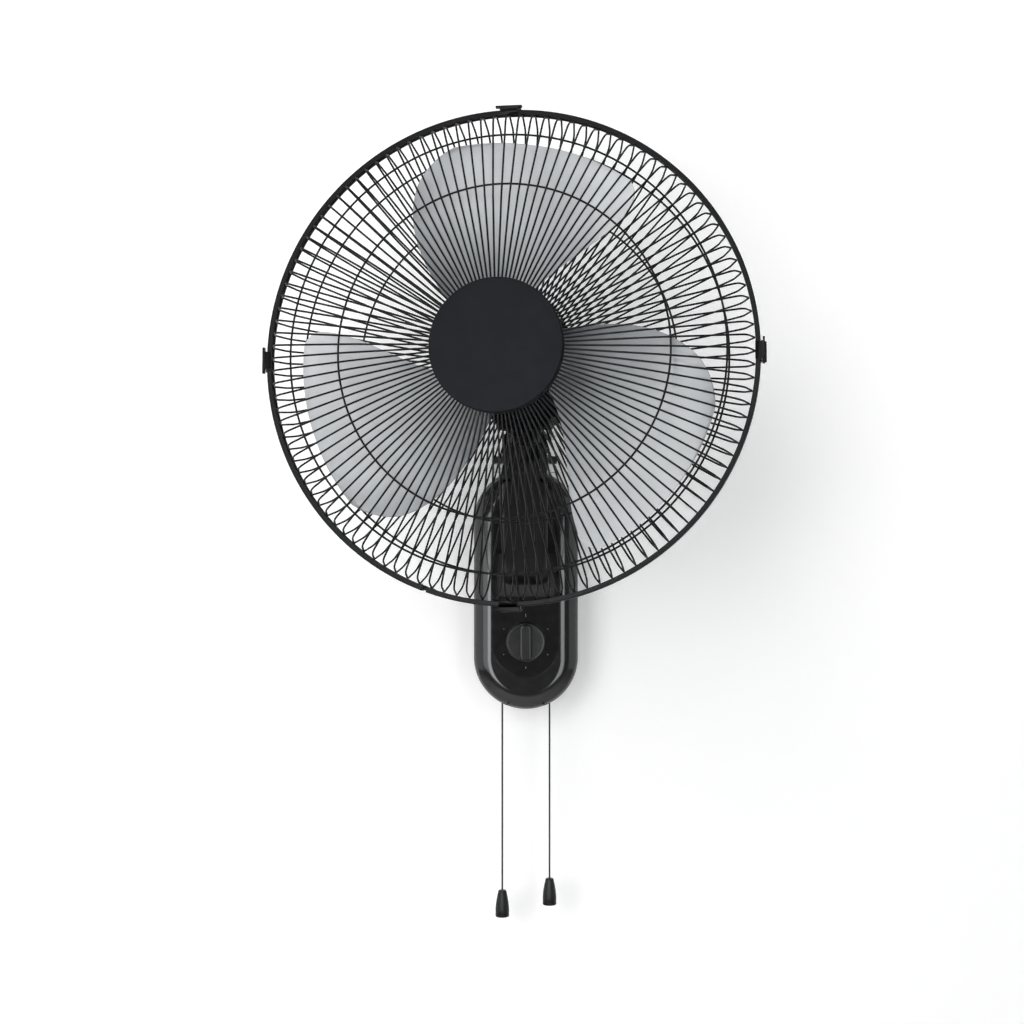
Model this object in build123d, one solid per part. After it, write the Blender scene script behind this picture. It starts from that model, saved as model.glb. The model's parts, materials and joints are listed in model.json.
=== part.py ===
"""Wall mounted oscillating fan, millimetres, +X right, +Y into the wall, +Z up.

The origin is the centre of the wall screw pattern, on the wall plane.
Three working frames carry the pieces:
  wall frame  x right, y up, z out of the wall, origin on the wall plane
  neck frame  the same directions from the tilt hinge, turned by the tilt
  head frame  x right, y up, z along the fan axis, from the swing axis
"""
from build123d import *
import os
from math import atan2, cos, degrees, pi, radians, sin, sqrt

os.makedirs("parts", exist_ok=True)

# ---------------------------------------------------------------- driving sizes
# fits
RUN = 0.05              # radial running clearance of a turning fit
SEAT = 0.05             # gap between faces that rest on each other
SLIP = 0.25             # gap round a moulded piece in its recess
SEAM = 0.6              # gap round the control panel, wide enough to be seen

# pose that the fan is left in
TILT_AT_REST = 4.5      # degrees, looking up
PAN_AT_REST = 8.5       # degrees, looking to the viewer's left

# wall base
BASE_WIDTH = 105.0
BASE_HEIGHT = 242.0
BASE_DEPTH = 62.0       # wall plane to front of cover
SHELL_DEPTH = 22.0      # rear shell
SKIN = 2.6              # moulded wall
FLOOR = 3.0             # rear shell floor
COVER_ROUND = 16.0      # front edge rounding of the cover
SCREWS_ACROSS = 56.0    # wall screw pattern
SCREWS_UP = BASE_HEIGHT - 102.0
SCREW_HOLE = 2.75       # radius
PLATE_WIDTH = 72.0      # steel wall plate
PLATE_HEIGHT = BASE_HEIGHT - 72.0
PLATE_THICK = 3.0
PANEL_WIDTH = 68.0      # inset control panel
PANEL_HEIGHT = BASE_HEIGHT - 68.0
PANEL_THICK = 2.6
PANEL_PROUD = 0.2
BOSS_ACROSS = 43.0      # cover screw bosses, from the centre
BOSS_UP = 45.0

# control knob and pull cords
KNOB_HEIGHT = 69.0 - BASE_HEIGHT / 2     # from the base centre
KNOB_RADIUS = 19.7
KNOB_SKIRT = 5.5
KNOB_TALL = 14.0
GRIP_WIDTH = 11.2
SHAFT_KNOB = 3.0
CORD_ACROSS = 23.8
CORD_OUT = 48.0
CORD_RADIUS = 0.9
CORD_LEFT = 188.5       # base edge to pull
CORD_RIGHT = 176.5
CORD_INSIDE = 20.0      # cord above its exit, up into the switch
BELL_HEIGHT = 26.4
BELL_TOP = 4.0          # radii of the pull
BELL_FOOT = 6.9
CORD_HOLE = 2.2

# neck arm
ARM_WIDTH = 44.0
ARM_THICK = 30.0
ARM_CORNER = 7.0
ARM_WALL = 4.0
ARM_UP = 20.0           # height of the arm where it leaves the base
ARM_BEND_OUT = 84.0     # where the arm turns up
ARM_BEND = 34.0         # centre line radius of the turn
HINGE_UP = 125.0        # tilt hinge
HINGE_OUT = 120.0
EAR_WIDTH = 28.0
EAR_RADIUS = 16.0
FOOT_WIDTH = 56.0
FOOT_HEIGHT = 60.0
FOOT_THICK = 5.0

# tilt yoke and swing pivot
CHEEK = 7.0
CHEEK_GAP = 0.3
BOLT_RADIUS = 5.0
PIVOT_FORWARD = 37.0    # swing axis in front of the tilt hinge
BRIDGE_TOP = 26.0       # yoke bridge, above the tilt hinge
BRIDGE_THICK = 9.0
POST_RADIUS = 5.0
BOSS_RADIUS = 10.5

# swing linkage
PEG_ACROSS = 15.0       # peg on the yoke, from the swing axis
PEG_RADIUS = 2.5
CRANK_THROW = 10.4
CRANK_ACROSS = 5.4
CRANK_BACK = 52.3
CRANK_TURN = 1.5        # crank turns this often as far as the head, the other way
LINK_LENGTH = 52.3
LINK_EYE = 3.9          # open eye, wide enough for the crank's true path
CRANK_PIN = 2.0

# motor
HOUSING_RADIUS = 54.0
AXIS_ABOVE = HOUSING_RADIUS + 34.0       # fan axis above the tilt hinge
BOSS_FOOT = -HOUSING_RADIUS - 2.0        # lower face of the swing boss, from the fan axis
HOUSING_FACE = 14.0     # front face, from the swing axis
HOUSING_SEAM = -14.0
HOUSING_TAIL = -72.0
HOUSING_ROUND = 24.0
HOUSING_WALL = 2.5
CHIN_HALF = 25.0        # flat chin under the housing, over the swing pivot
CHIN_DROP = 1.5
COLLAR_RADIUS = 22.0
STATOR_RADIUS = HOUSING_RADIUS - 12.0
STATOR_BORE = STATOR_RADIUS - 20.0
STATOR_FRONT = -14.0
STATOR_BACK = -34.0
SHAFT_RADIUS = 5.0
BEARING_RADIUS = 11.0

# guard
RIM_FORWARD = 85.0      # rim plane, from the swing axis
RIM_RADIUS = 225.0
RIM_BAND = 4.5
RIM_HALF = 4.9          # half width of the rim channel
RIM_SKIN = 1.2
SPOKES = 116            # per guard
SPOKE_WIRE = 0.9        # radii of the wires
RING_WIRE = 0.95
EDGE_WIRE = 1.6
FRONT_SHOULDER = (214.0, 21.0)   # radius, depth from the rim plane
FRONT_KNEE = (138.0, 43.2)
FRONT_END = (50.0, 60.0)
REAR_SHOULDER = (212.0, -18.0)
REAR_KNEE = (139.0, -49.8)
REAR_END_RADIUS = 46.0
RING_RADII = (197.0, 149.0)
DISC_RADIUS = 59.0
DISC_FACE = 72.5        # in front of the rim plane
PLATE_RADIUS = HOUSING_RADIUS + 3.0     # rear guard plate
PLATE_SHEET = 1.8

# fan blade
BLADE_RADIUS = 192.0
BLADE_HUB = 34.0
BLADE_CENTRE = 95.0     # blade mid plane, from the swing axis
BLADE_SHEET = 1.9
VANES = 3

# rim clips
CLIP_ANGLES = {"top": 90, "left": 180, "bottom": 270, "right": 0}
CLIP_PIN_RADIUS = 1.0
CLIP_PIN_OUT = 2.6      # outside the rim
CLIP_PIN_BACK = -8.0    # behind the rim plane
CLIP_HALF = 8.4

# ---------------------------------------------------------------- frames
WALL = Plane(origin=(0, 0, 0), x_dir=(1, 0, 0), z_dir=(0, -1, 0)).location
NECK = WALL * Pos(0, HINGE_UP, HINGE_OUT) * Rot(-TILT_AT_REST, 0, 0)
SWING = NECK * Pos(0, AXIS_ABOVE, PIVOT_FORWARD)
HEAD = SWING * Rot(0, -PAN_AT_REST, 0)
PAN_REST = radians(-PAN_AT_REST)

pieces = {}


def keep(name, frame, *solids):
    """Place the solids of one node and remember them."""
    placed = []
    for solid in solids:
        for part in solid.solids():
            placed.append(part.moved(frame))
    pieces[name] = placed


# ---------------------------------------------------------------- simple shapes
def tube(outer, low, high, inner=0.0):
    """A cylinder or tube along z from low to high."""
    body = Pos(0, 0, (low + high) / 2) * Cylinder(outer, high - low)
    if inner:
        body -= Pos(0, 0, (low + high) / 2) * Cylinder(inner, high - low + 2)
    return body


def upright(radius, low, high, inner=0.0):
    """A cylinder or tube along y from low to high."""
    return Rot(-90, 0, 0) * tube(radius, low, high, inner)


def across(radius, low, high, inner=0.0):
    """A cylinder or tube along x from low to high."""
    return Rot(0, 90, 0) * tube(radius, low, high, inner)


def block(x0, x1, y0, y1, z0, z1):
    """A box between two corners."""
    centre = Pos((x0 + x1) / 2, (y0 + y1) / 2, (z0 + z1) / 2)
    return centre * Box(x1 - x0, y1 - y0, z1 - z0)


def capsule(width, height, low, high):
    """An upright stadium outline, extruded along z from low to high."""
    return extrude(Pos(0, 0, low) * SlotOverall(height, width, rotation=90), high - low)


def turned(*points):
    """A solid turned about z from (radius, z) points."""
    outline = make_face(Polyline(*[(r, 0, z) for r, z in points], close=True))
    return revolve(outline, Axis.Z)


def around(solid, count, start=0.0):
    """Copies of a solid spaced evenly about z."""
    return [Rot(0, 0, start + 360 / count * i) * solid for i in range(count)]


def screw(head, head_high, shank, length):
    """A slotted pan head screw, head upward from z = 0, shank downward."""
    body = tube(head, 0, head_high) + tube(shank, -length, 0)
    return body - block(-head, head, -0.5, 0.5, head_high * 0.5, head_high + 1)


# ---------------------------------------------------------------- wall base
def screw_spots(across_, up_):
    """The four corners of a rectangle."""
    return [(sx * across_ / 2, sy * up_ / 2) for sx in (-1, 1) for sy in (-1, 1)]


WALL_SPOTS = screw_spots(SCREWS_ACROSS, SCREWS_UP)
COVER_SPOTS = screw_spots(2 * BOSS_ACROSS, 2 * BOSS_UP)
PLATE_BACK = FLOOR + SEAT
PLATE_FRONT = PLATE_BACK + PLATE_THICK
FOOT_BACK = PLATE_FRONT + SEAT
FOOT_FRONT = FOOT_BACK + FOOT_THICK
FOOT_SPOTS = screw_spots(FOOT_WIDTH - 14, FOOT_HEIGHT - 12)
FOOT_SCREW = 2.5
COVER_BOSS = 4.2         # radius
COVER_SCREW = 1.55
COVER_HEAD = 3.4
COVER_SINK = 2.0
INLET_OUT = 12.0        # cable inlet, from the wall
INLET_RADIUS = 4.0
INLET_SEAT = 6.5
INLET_FLANGE = 8.0
BASE_FOOT = -BASE_HEIGHT / 2


def back_shell():
    """The rear tray of the base, with its screw holes and cable inlet."""
    tray = capsule(BASE_WIDTH, BASE_HEIGHT, 0, SHELL_DEPTH)
    tray -= capsule(BASE_WIDTH - 2 * SKIN, BASE_HEIGHT - 2 * SKIN, FLOOR, SHELL_DEPTH + 1)
    for x, y in WALL_SPOTS:
        tray -= Pos(x, y, 0) * tube(SCREW_HOLE, -1, FLOOR + 1)
    for x, y in COVER_SPOTS:
        tray -= Pos(x, y, 0) * tube(COVER_SCREW + 0.2, -1, FLOOR + 1)
        tray -= Pos(x, y, 0) * tube(COVER_HEAD + 0.2, -1, COVER_SINK + 0.1)
    tray -= Pos(0, 0, INLET_OUT) * upright(INLET_SEAT, BASE_FOOT - 1, BASE_FOOT + 8)
    return tray


def wall_plate():
    """The steel plate that the wall screws and the neck foot clamp."""
    plate = extrude(Pos(0, 0, PLATE_BACK) * RectangleRounded(PLATE_WIDTH, PLATE_HEIGHT, 12), PLATE_THICK)
    for x, y in WALL_SPOTS:
        plate -= Pos(x, y, 0) * tube(SCREW_HOLE, 0, PLATE_FRONT + 1)
    for x, y in FOOT_SPOTS:
        plate -= Pos(x, y + ARM_UP, 0) * tube(FOOT_SCREW + RUN, 0, PLATE_FRONT + 1)
    return plate


PANEL_FRONT = BASE_DEPTH + PANEL_PROUD
PANEL_BACK = PANEL_FRONT - PANEL_THICK
LEDGE_FRONT = PANEL_BACK - 0.1
LEDGE_THICK = 3.0
LEDGE_BACK = LEDGE_FRONT - LEDGE_THICK
SWITCH_FOOT = BASE_FOOT + 27.0           # pull switches, heights in the base
SWITCH_TOP = SWITCH_FOOT + 24.0
SWITCH_WIDE = 15.0
SWITCH_BACK = 40.0
SWITCH_FRONT = 56.0
SLOT_RUN = 12.0         # slanted slot in front of each cord hole


def base_cover():
    """The glossy front shell with its panel recess, ledge and cord slots."""
    seam = SHELL_DEPTH + SEAT
    outer = capsule(BASE_WIDTH, BASE_HEIGHT, seam, BASE_DEPTH)
    outer = fillet(outer.faces().sort_by(Axis.Z)[-1].edges(), COVER_ROUND)
    inner = capsule(BASE_WIDTH - 2 * SKIN, BASE_HEIGHT - 2 * SKIN, seam - 1, BASE_DEPTH - SKIN)
    inner = fillet(inner.faces().sort_by(Axis.Z)[-1].edges(), COVER_ROUND - SKIN)
    cover = outer - inner
    cover -= capsule(PANEL_WIDTH + 2 * SEAM, PANEL_HEIGHT + 2 * SEAM, LEDGE_FRONT - 1, BASE_DEPTH + 1)
    ledge = capsule(PANEL_WIDTH + 8, PANEL_HEIGHT + 8, LEDGE_BACK, LEDGE_FRONT)
    ledge -= capsule(PANEL_WIDTH - 8, PANEL_HEIGHT - 8, LEDGE_BACK - 1, LEDGE_FRONT + 1)
    cover += ledge
    core = capsule(BASE_WIDTH - SKIN, BASE_HEIGHT - SKIN, 0, BASE_DEPTH - SKIN / 2)
    core = fillet(core.faces().sort_by(Axis.Z)[-1].edges(), COVER_ROUND - SKIN / 2)
    for x, y in COVER_SPOTS:
        boss = Pos(x, y, 0) * tube(COVER_BOSS, FLOOR + SEAT, BASE_DEPTH)
        cover += boss & core
        cover -= Pos(x, y, 0) * tube(COVER_SCREW, FLOOR - 1, FLOOR + 18)
    for side in (-1, 1):
        x = side * CORD_ACROSS
        cover += block(x - 5, x + 5, SWITCH_FOOT + 3, SWITCH_FOOT + 12, SWITCH_FRONT + SEAT, LEDGE_FRONT)
        cover -= Pos(x, 0, CORD_OUT) * upright(CORD_HOLE, BASE_FOOT - 1, SWITCH_FOOT - 2)
        slot = Rot(0, -side * 37.5, 0) * block(-1.1, 1.1, BASE_FOOT - 1, SWITCH_FOOT - 9, 0, SLOT_RUN)
        cover -= Pos(x, 0, CORD_OUT) * slot
    return cover


def control_panel():
    """The inset panel, open where the neck passes and bored for the switch."""
    panel = capsule(PANEL_WIDTH, PANEL_HEIGHT, PANEL_BACK, PANEL_FRONT)
    panel = fillet(panel.faces().sort_by(Axis.Z)[-1].edges(), 0.9)
    mouth = RectangleRounded(PANEL_WIDTH - 8, ARM_THICK + 14, 6)
    panel -= extrude(Pos(0, ARM_UP - 5.5, PANEL_BACK - 1) * mouth, PANEL_THICK + 2)
    return panel - Pos(0, KNOB_HEIGHT, 0) * tube(5.2, PANEL_BACK - 1, PANEL_FRONT + 1)


def neck_seal():
    """The rubber sheet that closes the panel mouth round the neck."""
    back = LEDGE_BACK - SEAT - 2.2
    sheet = extrude(Pos(0, ARM_UP - 5.5, back) * RectangleRounded(74, 58, 8), 2.2)
    gap = RectangleRounded(ARM_WIDTH + 0.4, ARM_THICK + 0.4, ARM_CORNER)
    return sheet - extrude(Pos(0, ARM_UP, back - 1) * gap, 5)


def speed_switch():
    """The rotary switch behind the panel, with its threaded bush."""
    body = block(-15, 15, KNOB_HEIGHT - 15, KNOB_HEIGHT + 15, 41, PANEL_BACK - SEAT)
    body += Pos(0, KNOB_HEIGHT, 0) * tube(5.0, PANEL_BACK - 1, PANEL_FRONT + 0.4)
    for x in (-10, -5, 0, 5, 10):
        body += block(x - 1, x + 1, KNOB_HEIGHT - 12, KNOB_HEIGHT - 6, 35, 42)
    return body - Pos(0, KNOB_HEIGHT, 0) * tube(SHAFT_KNOB + RUN, 46, PANEL_FRONT + 2)


def pull_switch(side):
    """One pull switch, bored from below for its cord."""
    x = side * CORD_ACROSS
    half = SWITCH_WIDE / 2
    body = block(x - half, x + half, SWITCH_FOOT, SWITCH_TOP, SWITCH_BACK, SWITCH_FRONT)
    for z in (SWITCH_BACK + 4, SWITCH_FRONT - 4):
        body += block(x - 2, x + 2, SWITCH_TOP - 1, SWITCH_TOP + 5, z - 0.5, z + 0.5)
    return body - Pos(x, 0, CORD_OUT) * upright(CORD_RADIUS + 0.1, SWITCH_FOOT - 1, SWITCH_TOP - 4)


def base_corner(x):
    """Height of the base outline's lower edge at a place across it."""
    half = BASE_WIDTH / 2
    return BASE_FOOT + half - sqrt(half * half - x * x)


CORD_EXIT = base_corner(CORD_ACROSS)


def bell(top):
    """A bell shaped pull below the end of its cord, bored for the knot."""
    low = top - BELL_HEIGHT
    flare = Spline((BELL_TOP, top - 0.9, 0), (BELL_FOOT - 1.6, top - 9.0, 0), (BELL_FOOT - 0.2, low + 6.5, 0),
                   tangents=((0.15, -1, 0), (0.03, -1, 0)))
    rest = Polyline(flare @ 1, (BELL_FOOT, low + 0.7, 0), (BELL_FOOT - 0.6, low, 0), (0, low, 0),
                    (0, top, 0), (BELL_TOP - 0.6, top, 0), (BELL_TOP, top - 0.9, 0))
    return revolve(make_face(flare + rest), Axis.Y)


def build_base():
    """Every piece that stays on the wall, apart from the neck."""
    keep("back_shell", WALL, back_shell())
    keep("wall_plate", WALL, wall_plate())
    keep("base_cover", WALL, base_cover())
    fixing = Rot(180, 0, 0) * screw(COVER_HEAD, COVER_SINK - 0.2, COVER_SCREW - RUN, 15)
    sunk = [Pos(x, y, COVER_SINK) * fixing for x, y in COVER_SPOTS]
    keep("cover_screws", WALL, *sunk)
    keep("control_panel", WALL, control_panel())
    keep("neck_seal", WALL, neck_seal())
    keep("speed_switch", WALL, speed_switch())
    keep("pull_switches", WALL, pull_switch(-1), pull_switch(1))
    can = extrude(Pos(0, 70, PLATE_FRONT + SEAT) * RectangleRounded(38, 20, 4), 24)
    keep("capacitor", WALL, can + block(-6, -4, 78, 86, 24, 25) + block(4, 6, 78, 86, 24, 25))
    rail = block(-18, 18, -69, -57, PLATE_FRONT + SEAT, 20)
    for i in range(4):
        rail -= Pos(-13.5 + 9 * i, -63, 0) * tube(2.6, 12, 21)
    keep("terminal_block", WALL, rail)
    grommet = upright(INLET_SEAT - SEAT, BASE_FOOT - 1.2, BASE_FOOT + 7)
    grommet += upright(INLET_FLANGE, BASE_FOOT - 1.4, BASE_FOOT - 0.1)
    grommet += upright(INLET_FLANGE, BASE_FOOT + SKIN + 0.8, BASE_FOOT + 7)
    grommet -= upright(INLET_RADIUS, BASE_FOOT - 3, BASE_FOOT + 9)
    keep("cable_grommet", WALL, Pos(0, 0, INLET_OUT) * grommet)


# ---------------------------------------------------------------- neck arm
def arm_path(end):
    """Centre line of the neck, from its foot to a share of its upper run."""
    bend = Vector(0, ARM_UP, ARM_BEND_OUT)
    hinge = Vector(0, HINGE_UP, HINGE_OUT)
    return FilletPolyline((0, ARM_UP, FOOT_BACK), bend, bend + (hinge - bend) * end, radius=ARM_BEND)


def arm_bar(width, thick, corner, end):
    """A rounded bar along the neck's centre line."""
    section = Plane(origin=(0, ARM_UP, FOOT_BACK), x_dir=(1, 0, 0), z_dir=(0, 0, 1))
    return sweep(section * RectangleRounded(width, thick, corner), path=arm_path(end))


ARM_RUN = Vector(0, HINGE_UP - ARM_UP, HINGE_OUT - ARM_BEND_OUT)
ARM_SLOPE = ARM_RUN.normalized()
HATCH_LONG = 44.0
HATCH_WIDE = 30.0
HATCH_THICK = 2.0
HATCH_MIDDLE = Vector(0, ARM_UP, ARM_BEND_OUT) + ARM_RUN * 0.56
HATCH = Plane(origin=HATCH_MIDDLE, x_dir=(1, 0, 0), z_dir=(0, ARM_SLOPE.Z, -ARM_SLOPE.Y))


def arm():
    """The cast neck: foot, hollow bent bar and the ear of the tilt hinge."""
    body = arm_bar(ARM_WIDTH, ARM_THICK, ARM_CORNER, 1.0)
    foot = Pos(0, ARM_UP, FOOT_BACK) * RectangleRounded(FOOT_WIDTH, FOOT_HEIGHT, 6)
    body += extrude(foot, FOOT_THICK)
    hinge = Pos(0, HINGE_UP, HINGE_OUT)
    half = EAR_WIDTH / 2
    for low, high in ((half, half + 30), (-half - 30, -half)):
        body -= hinge * across(EAR_RADIUS + 3.5, low, high)
    body += hinge * across(EAR_RADIUS, -half, half)
    body -= hinge * across(BOLT_RADIUS + RUN, -half - 1, half + 1)
    body -= arm_bar(ARM_WIDTH - 2 * ARM_WALL, ARM_THICK - 2 * ARM_WALL, 3, 0.72)
    depth = ARM_THICK / 2
    body -= HATCH * block(-HATCH_WIDE / 2 + 3, HATCH_WIDE / 2 - 3, 3 - HATCH_LONG / 2, HATCH_LONG / 2 - 3,
                          depth - 6, depth + 1)
    body -= HATCH * block(-HATCH_WIDE / 2, HATCH_WIDE / 2, -HATCH_LONG / 2, HATCH_LONG / 2,
                          depth - HATCH_THICK, depth + 1)
    for x, y in FOOT_SPOTS:
        body -= Pos(x, y + ARM_UP, 0) * tube(FOOT_SCREW + RUN, 0, FOOT_FRONT + 1)
    return body


def arm_cover():
    """The snap lid over the wiring hatch at the back of the neck."""
    top = ARM_THICK / 2
    half_x = HATCH_WIDE / 2 - SLIP
    half_y = HATCH_LONG / 2 - SLIP
    lid = block(-half_x, half_x, -half_y, half_y, top - HATCH_THICK + SEAT, top)
    return HATCH * fillet(lid.edges().filter_by(Axis.Z), 1.0)


def build_arm():
    """The neck and what is fixed on it."""
    keep("arm", WALL, arm())
    keep("arm_cover", WALL, arm_cover())
    bolt = screw(4.6, 3.0, FOOT_SCREW, FOOT_FRONT - PLATE_BACK - 0.2)
    keep("arm_screws", WALL, *[Pos(x, y + ARM_UP, FOOT_FRONT + SEAT) * bolt for x, y in FOOT_SPOTS])


# ---------------------------------------------------------------- tilt yoke
CHEEK_IN = EAR_WIDTH / 2 + CHEEK_GAP
CHEEK_OUT = CHEEK_IN + CHEEK
WASHER = 1.4
BOLT_HEAD = 9.0
BRIDGE_BACK = PIVOT_FORWARD - 17.0
NOSE_RADIUS = 17.2      # front of the bridge, round the swing post
LIP = 2.2               # dust lip on the nose
POST_HEAD_FOOT = BOSS_FOOT + 18.0
LIP_TOP = AXIS_ABOVE + BOSS_FOOT - CHIN_DROP - 0.4


def tilt_yoke():
    """Two cheeks on the hinge and the bridge that carries the swing post."""
    lever = [(0, 12, -12), (0, BRIDGE_TOP, BRIDGE_BACK - 4), (0, BRIDGE_TOP, PIVOT_FORWARD),
             (0, BRIDGE_TOP - 10, PIVOT_FORWARD), (0, -9.6, 14)]
    outline = make_face(Polyline(*lever, close=True))
    cheek = Pos(CHEEK_IN, 0, 0) * extrude(outline, CHEEK, dir=(1, 0, 0))
    cheek += across(EAR_RADIUS + 1, CHEEK_IN, CHEEK_OUT)
    yoke = cheek + mirror(cheek, Plane.YZ)
    yoke += block(-CHEEK_OUT, CHEEK_OUT, BRIDGE_TOP - BRIDGE_THICK, BRIDGE_TOP, BRIDGE_BACK, PIVOT_FORWARD)
    yoke -= across(BOLT_RADIUS + 0.02, -CHEEK_OUT - 1, CHEEK_OUT + 1)
    post = Pos(0, 0, PIVOT_FORWARD)
    yoke += post * upright(NOSE_RADIUS, BRIDGE_TOP - BRIDGE_THICK, BRIDGE_TOP)
    yoke -= post * upright(POST_RADIUS + 0.02, BRIDGE_TOP - BRIDGE_THICK - 1, BRIDGE_TOP + 1)
    lip = post * upright(NOSE_RADIUS, BRIDGE_TOP - 1, LIP_TOP, NOSE_RADIUS - LIP)
    yoke += lip & block(-NOSE_RADIUS, NOSE_RADIUS, BRIDGE_TOP - 1, LIP_TOP, PIVOT_FORWARD + PEG_RADIUS + 3.8,
                        PIVOT_FORWARD + NOSE_RADIUS)
    yoke += block(-CHEEK_IN - 1, CHEEK_IN + 1, 4, BRIDGE_TOP - 4, EAR_RADIUS + 1.5, EAR_RADIUS + 4.5)
    peg = Pos(PEG_ACROSS, 0, PIVOT_FORWARD)
    return yoke + peg * upright(PEG_RADIUS, BRIDGE_TOP - 2, BRIDGE_TOP + 4.2)


def build_neck():
    """The pieces that tilt but don't swing."""
    keep("tilt_yoke", NECK, tilt_yoke())
    reach = CHEEK_OUT + WASHER + 2 * SEAT
    head = Rot(0, -90, 0) * extrude(Pos(0, 0, reach) * RegularPolygon(BOLT_HEAD, 6), 7)
    keep("tilt_bolt", NECK, head + across(BOLT_RADIUS, -reach - 1, reach + 8))
    nut = extrude(Pos(0, 0, reach) * RegularPolygon(BOLT_HEAD, 6), 8) - tube(BOLT_RADIUS + 0.02, 0, 60)
    keep("tilt_nut", NECK, Rot(0, 90, 0) * nut)
    washer = across(9.5, CHEEK_OUT + SEAT, CHEEK_OUT + SEAT + WASHER, BOLT_RADIUS + 0.1)
    spacer = upright(7.0, BRIDGE_TOP + SEAT, AXIS_ABOVE + BOSS_FOOT - SEAT, POST_RADIUS + RUN)
    keep("neck_washers", NECK, washer, mirror(washer, Plane.YZ), Pos(0, 0, PIVOT_FORWARD) * spacer)
    post = upright(POST_RADIUS, BRIDGE_TOP - BRIDGE_THICK - AXIS_ABOVE, POST_HEAD_FOOT)
    post += upright(8.0, POST_HEAD_FOOT, POST_HEAD_FOOT + 4)
    post -= block(-9, 9, POST_HEAD_FOOT + 2, POST_HEAD_FOOT + 5, -0.8, 0.8)
    keep("pivot_post", SWING, post)


# ---------------------------------------------------------------- swing linkage
LINK_TOP = BOSS_FOOT - 2.5
LINK_THICK = 2.0
CRANK_REST = degrees(-CRANK_TURN * PAN_REST)
CRANK_TOP = BOSS_FOOT + 1.4
DRIVE_FOOT = 12.0 - HOUSING_RADIUS       # lower face of the swing drive


def crank_pin():
    """Place of the crank pin in the head frame, as (x, z)."""
    turn = radians(CRANK_REST)
    return CRANK_ACROSS + CRANK_THROW * cos(turn), -CRANK_BACK - CRANK_THROW * sin(turn)


def swing_link():
    """The flat link from the yoke peg back to the crank pin."""
    low = LINK_TOP - LINK_THICK
    bar = block(-3.5, 3.5, low, LINK_TOP, -LINK_LENGTH, 0)
    bar += upright(5.5, low, LINK_TOP)
    bar += Pos(0, 0, -LINK_LENGTH) * upright(LINK_EYE + 3, low, LINK_TOP)
    bar -= upright(PEG_RADIUS + RUN, low - 1, LINK_TOP + 1)
    return bar - Pos(0, 0, -LINK_LENGTH) * upright(LINK_EYE, low - 1, LINK_TOP + 1)


def swing_crank():
    """The crank: stem, plate and headed pin."""
    pin_x, pin_z = crank_pin()
    plate = CRANK_TOP - 3
    web = block(0, CRANK_THROW, plate, CRANK_TOP, -3.5, 3.5)
    spot = Pos(CRANK_ACROSS, 0, -CRANK_BACK)
    stem = upright(5, plate, CRANK_TOP) + upright(2.5, plate, DRIVE_FOOT + 5)
    crank = spot * Rot(0, CRANK_REST, 0) * web + spot * stem
    pin = upright(4.5, plate, CRANK_TOP) + upright(CRANK_PIN, LINK_TOP - LINK_THICK - 2, plate + 1)
    pin += upright(5.4, LINK_TOP - LINK_THICK - 1.9, LINK_TOP - LINK_THICK - 0.4)
    return crank + Pos(pin_x, 0, pin_z) * pin


# ---------------------------------------------------------------- motor
SWING_MOTOR = 10.5
BOLT_CIRCLE = STATOR_RADIUS - 5.5
STUD_HEAD = 3.6
POST_CIRCLE = HOUSING_RADIUS - 27.0
BELL_BACK = STATOR_BACK - 7.0
BEARING_FRONT = (0.0, 11.0)
BEARING_REAR = (BELL_BACK - 9.0, BELL_BACK)
FRONT_SPOTS = (HOUSING_RADIUS + COLLAR_RADIUS) / 2 - 8.0
BELL_RADIUS = STATOR_RADIUS + 4.0


def front_bell():
    """Front end bell: bearing seat, stator rim and the swing boss below."""
    bell_ = tube(BELL_RADIUS, 3, 8) + tube(BELL_RADIUS, STATOR_FRONT + SEAT, 4, STATOR_RADIUS - 2.5)
    bell_ += tube(15, -4, 12)
    bell_ += upright(BOSS_RADIUS, BOSS_FOOT, POST_HEAD_FOOT - 0.1)
    bell_ += block(-7, 7, BOSS_FOOT + 2, POST_HEAD_FOOT - 0.1, 0, 8)
    bell_ -= upright(7.5 + RUN, BOSS_FOOT - 1, POST_HEAD_FOOT + 1)
    bell_ -= upright(9, POST_HEAD_FOOT - 0.1, POST_HEAD_FOOT + 10)
    for spot in around(Pos(0, FRONT_SPOTS, 0) * tube(5, 7, HOUSING_FACE - 3 - SEAT), 3):
        bell_ += spot
    for spot in around(Pos(0, FRONT_SPOTS, 0) * tube(1.7, 4, 12), 3):
        bell_ -= spot
    seat = tube(2 + RUN, -20, 12) + tube(STUD_HEAD + 0.4, 8, 11.2)
    for spot in around(Pos(BOLT_CIRCLE, 0, 0) * seat, 4, 45):
        bell_ -= spot
    return bell_ - tube(BEARING_RADIUS + 0.02, BEARING_FRONT[0], 20) - tube(7, -6, 20)


def rear_bell():
    """Rear end bell: bearing seat, stator rim and posts for the housing screws."""
    bell_ = tube(STATOR_RADIUS, BELL_BACK, BELL_BACK + 3)
    bell_ += tube(STATOR_RADIUS, BELL_BACK, STATOR_BACK - SEAT, STATOR_RADIUS - 3)
    bell_ += tube(15, BELL_BACK - 11, BELL_BACK + 1)
    post = tube(4.5, HOUSING_TAIL + HOUSING_WALL + 0.3, BELL_BACK + 1)
    for spot in around(Pos(POST_CIRCLE, 0, 0) * post, 4, 45):
        bell_ += spot
    for spot in around(Pos(POST_CIRCLE, 0, 0) * tube(1.75, HOUSING_TAIL, BELL_BACK - 2), 4, 45):
        bell_ -= spot
    for spot in around(Pos(BOLT_CIRCLE, 0, 0) * tube(2 + RUN, BELL_BACK - 2, BELL_BACK + 9), 4, 45):
        bell_ -= spot
    return bell_ - tube(BEARING_RADIUS + 0.02, BEARING_REAR[0], 0) - tube(7, BELL_BACK - 12, 0)


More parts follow.
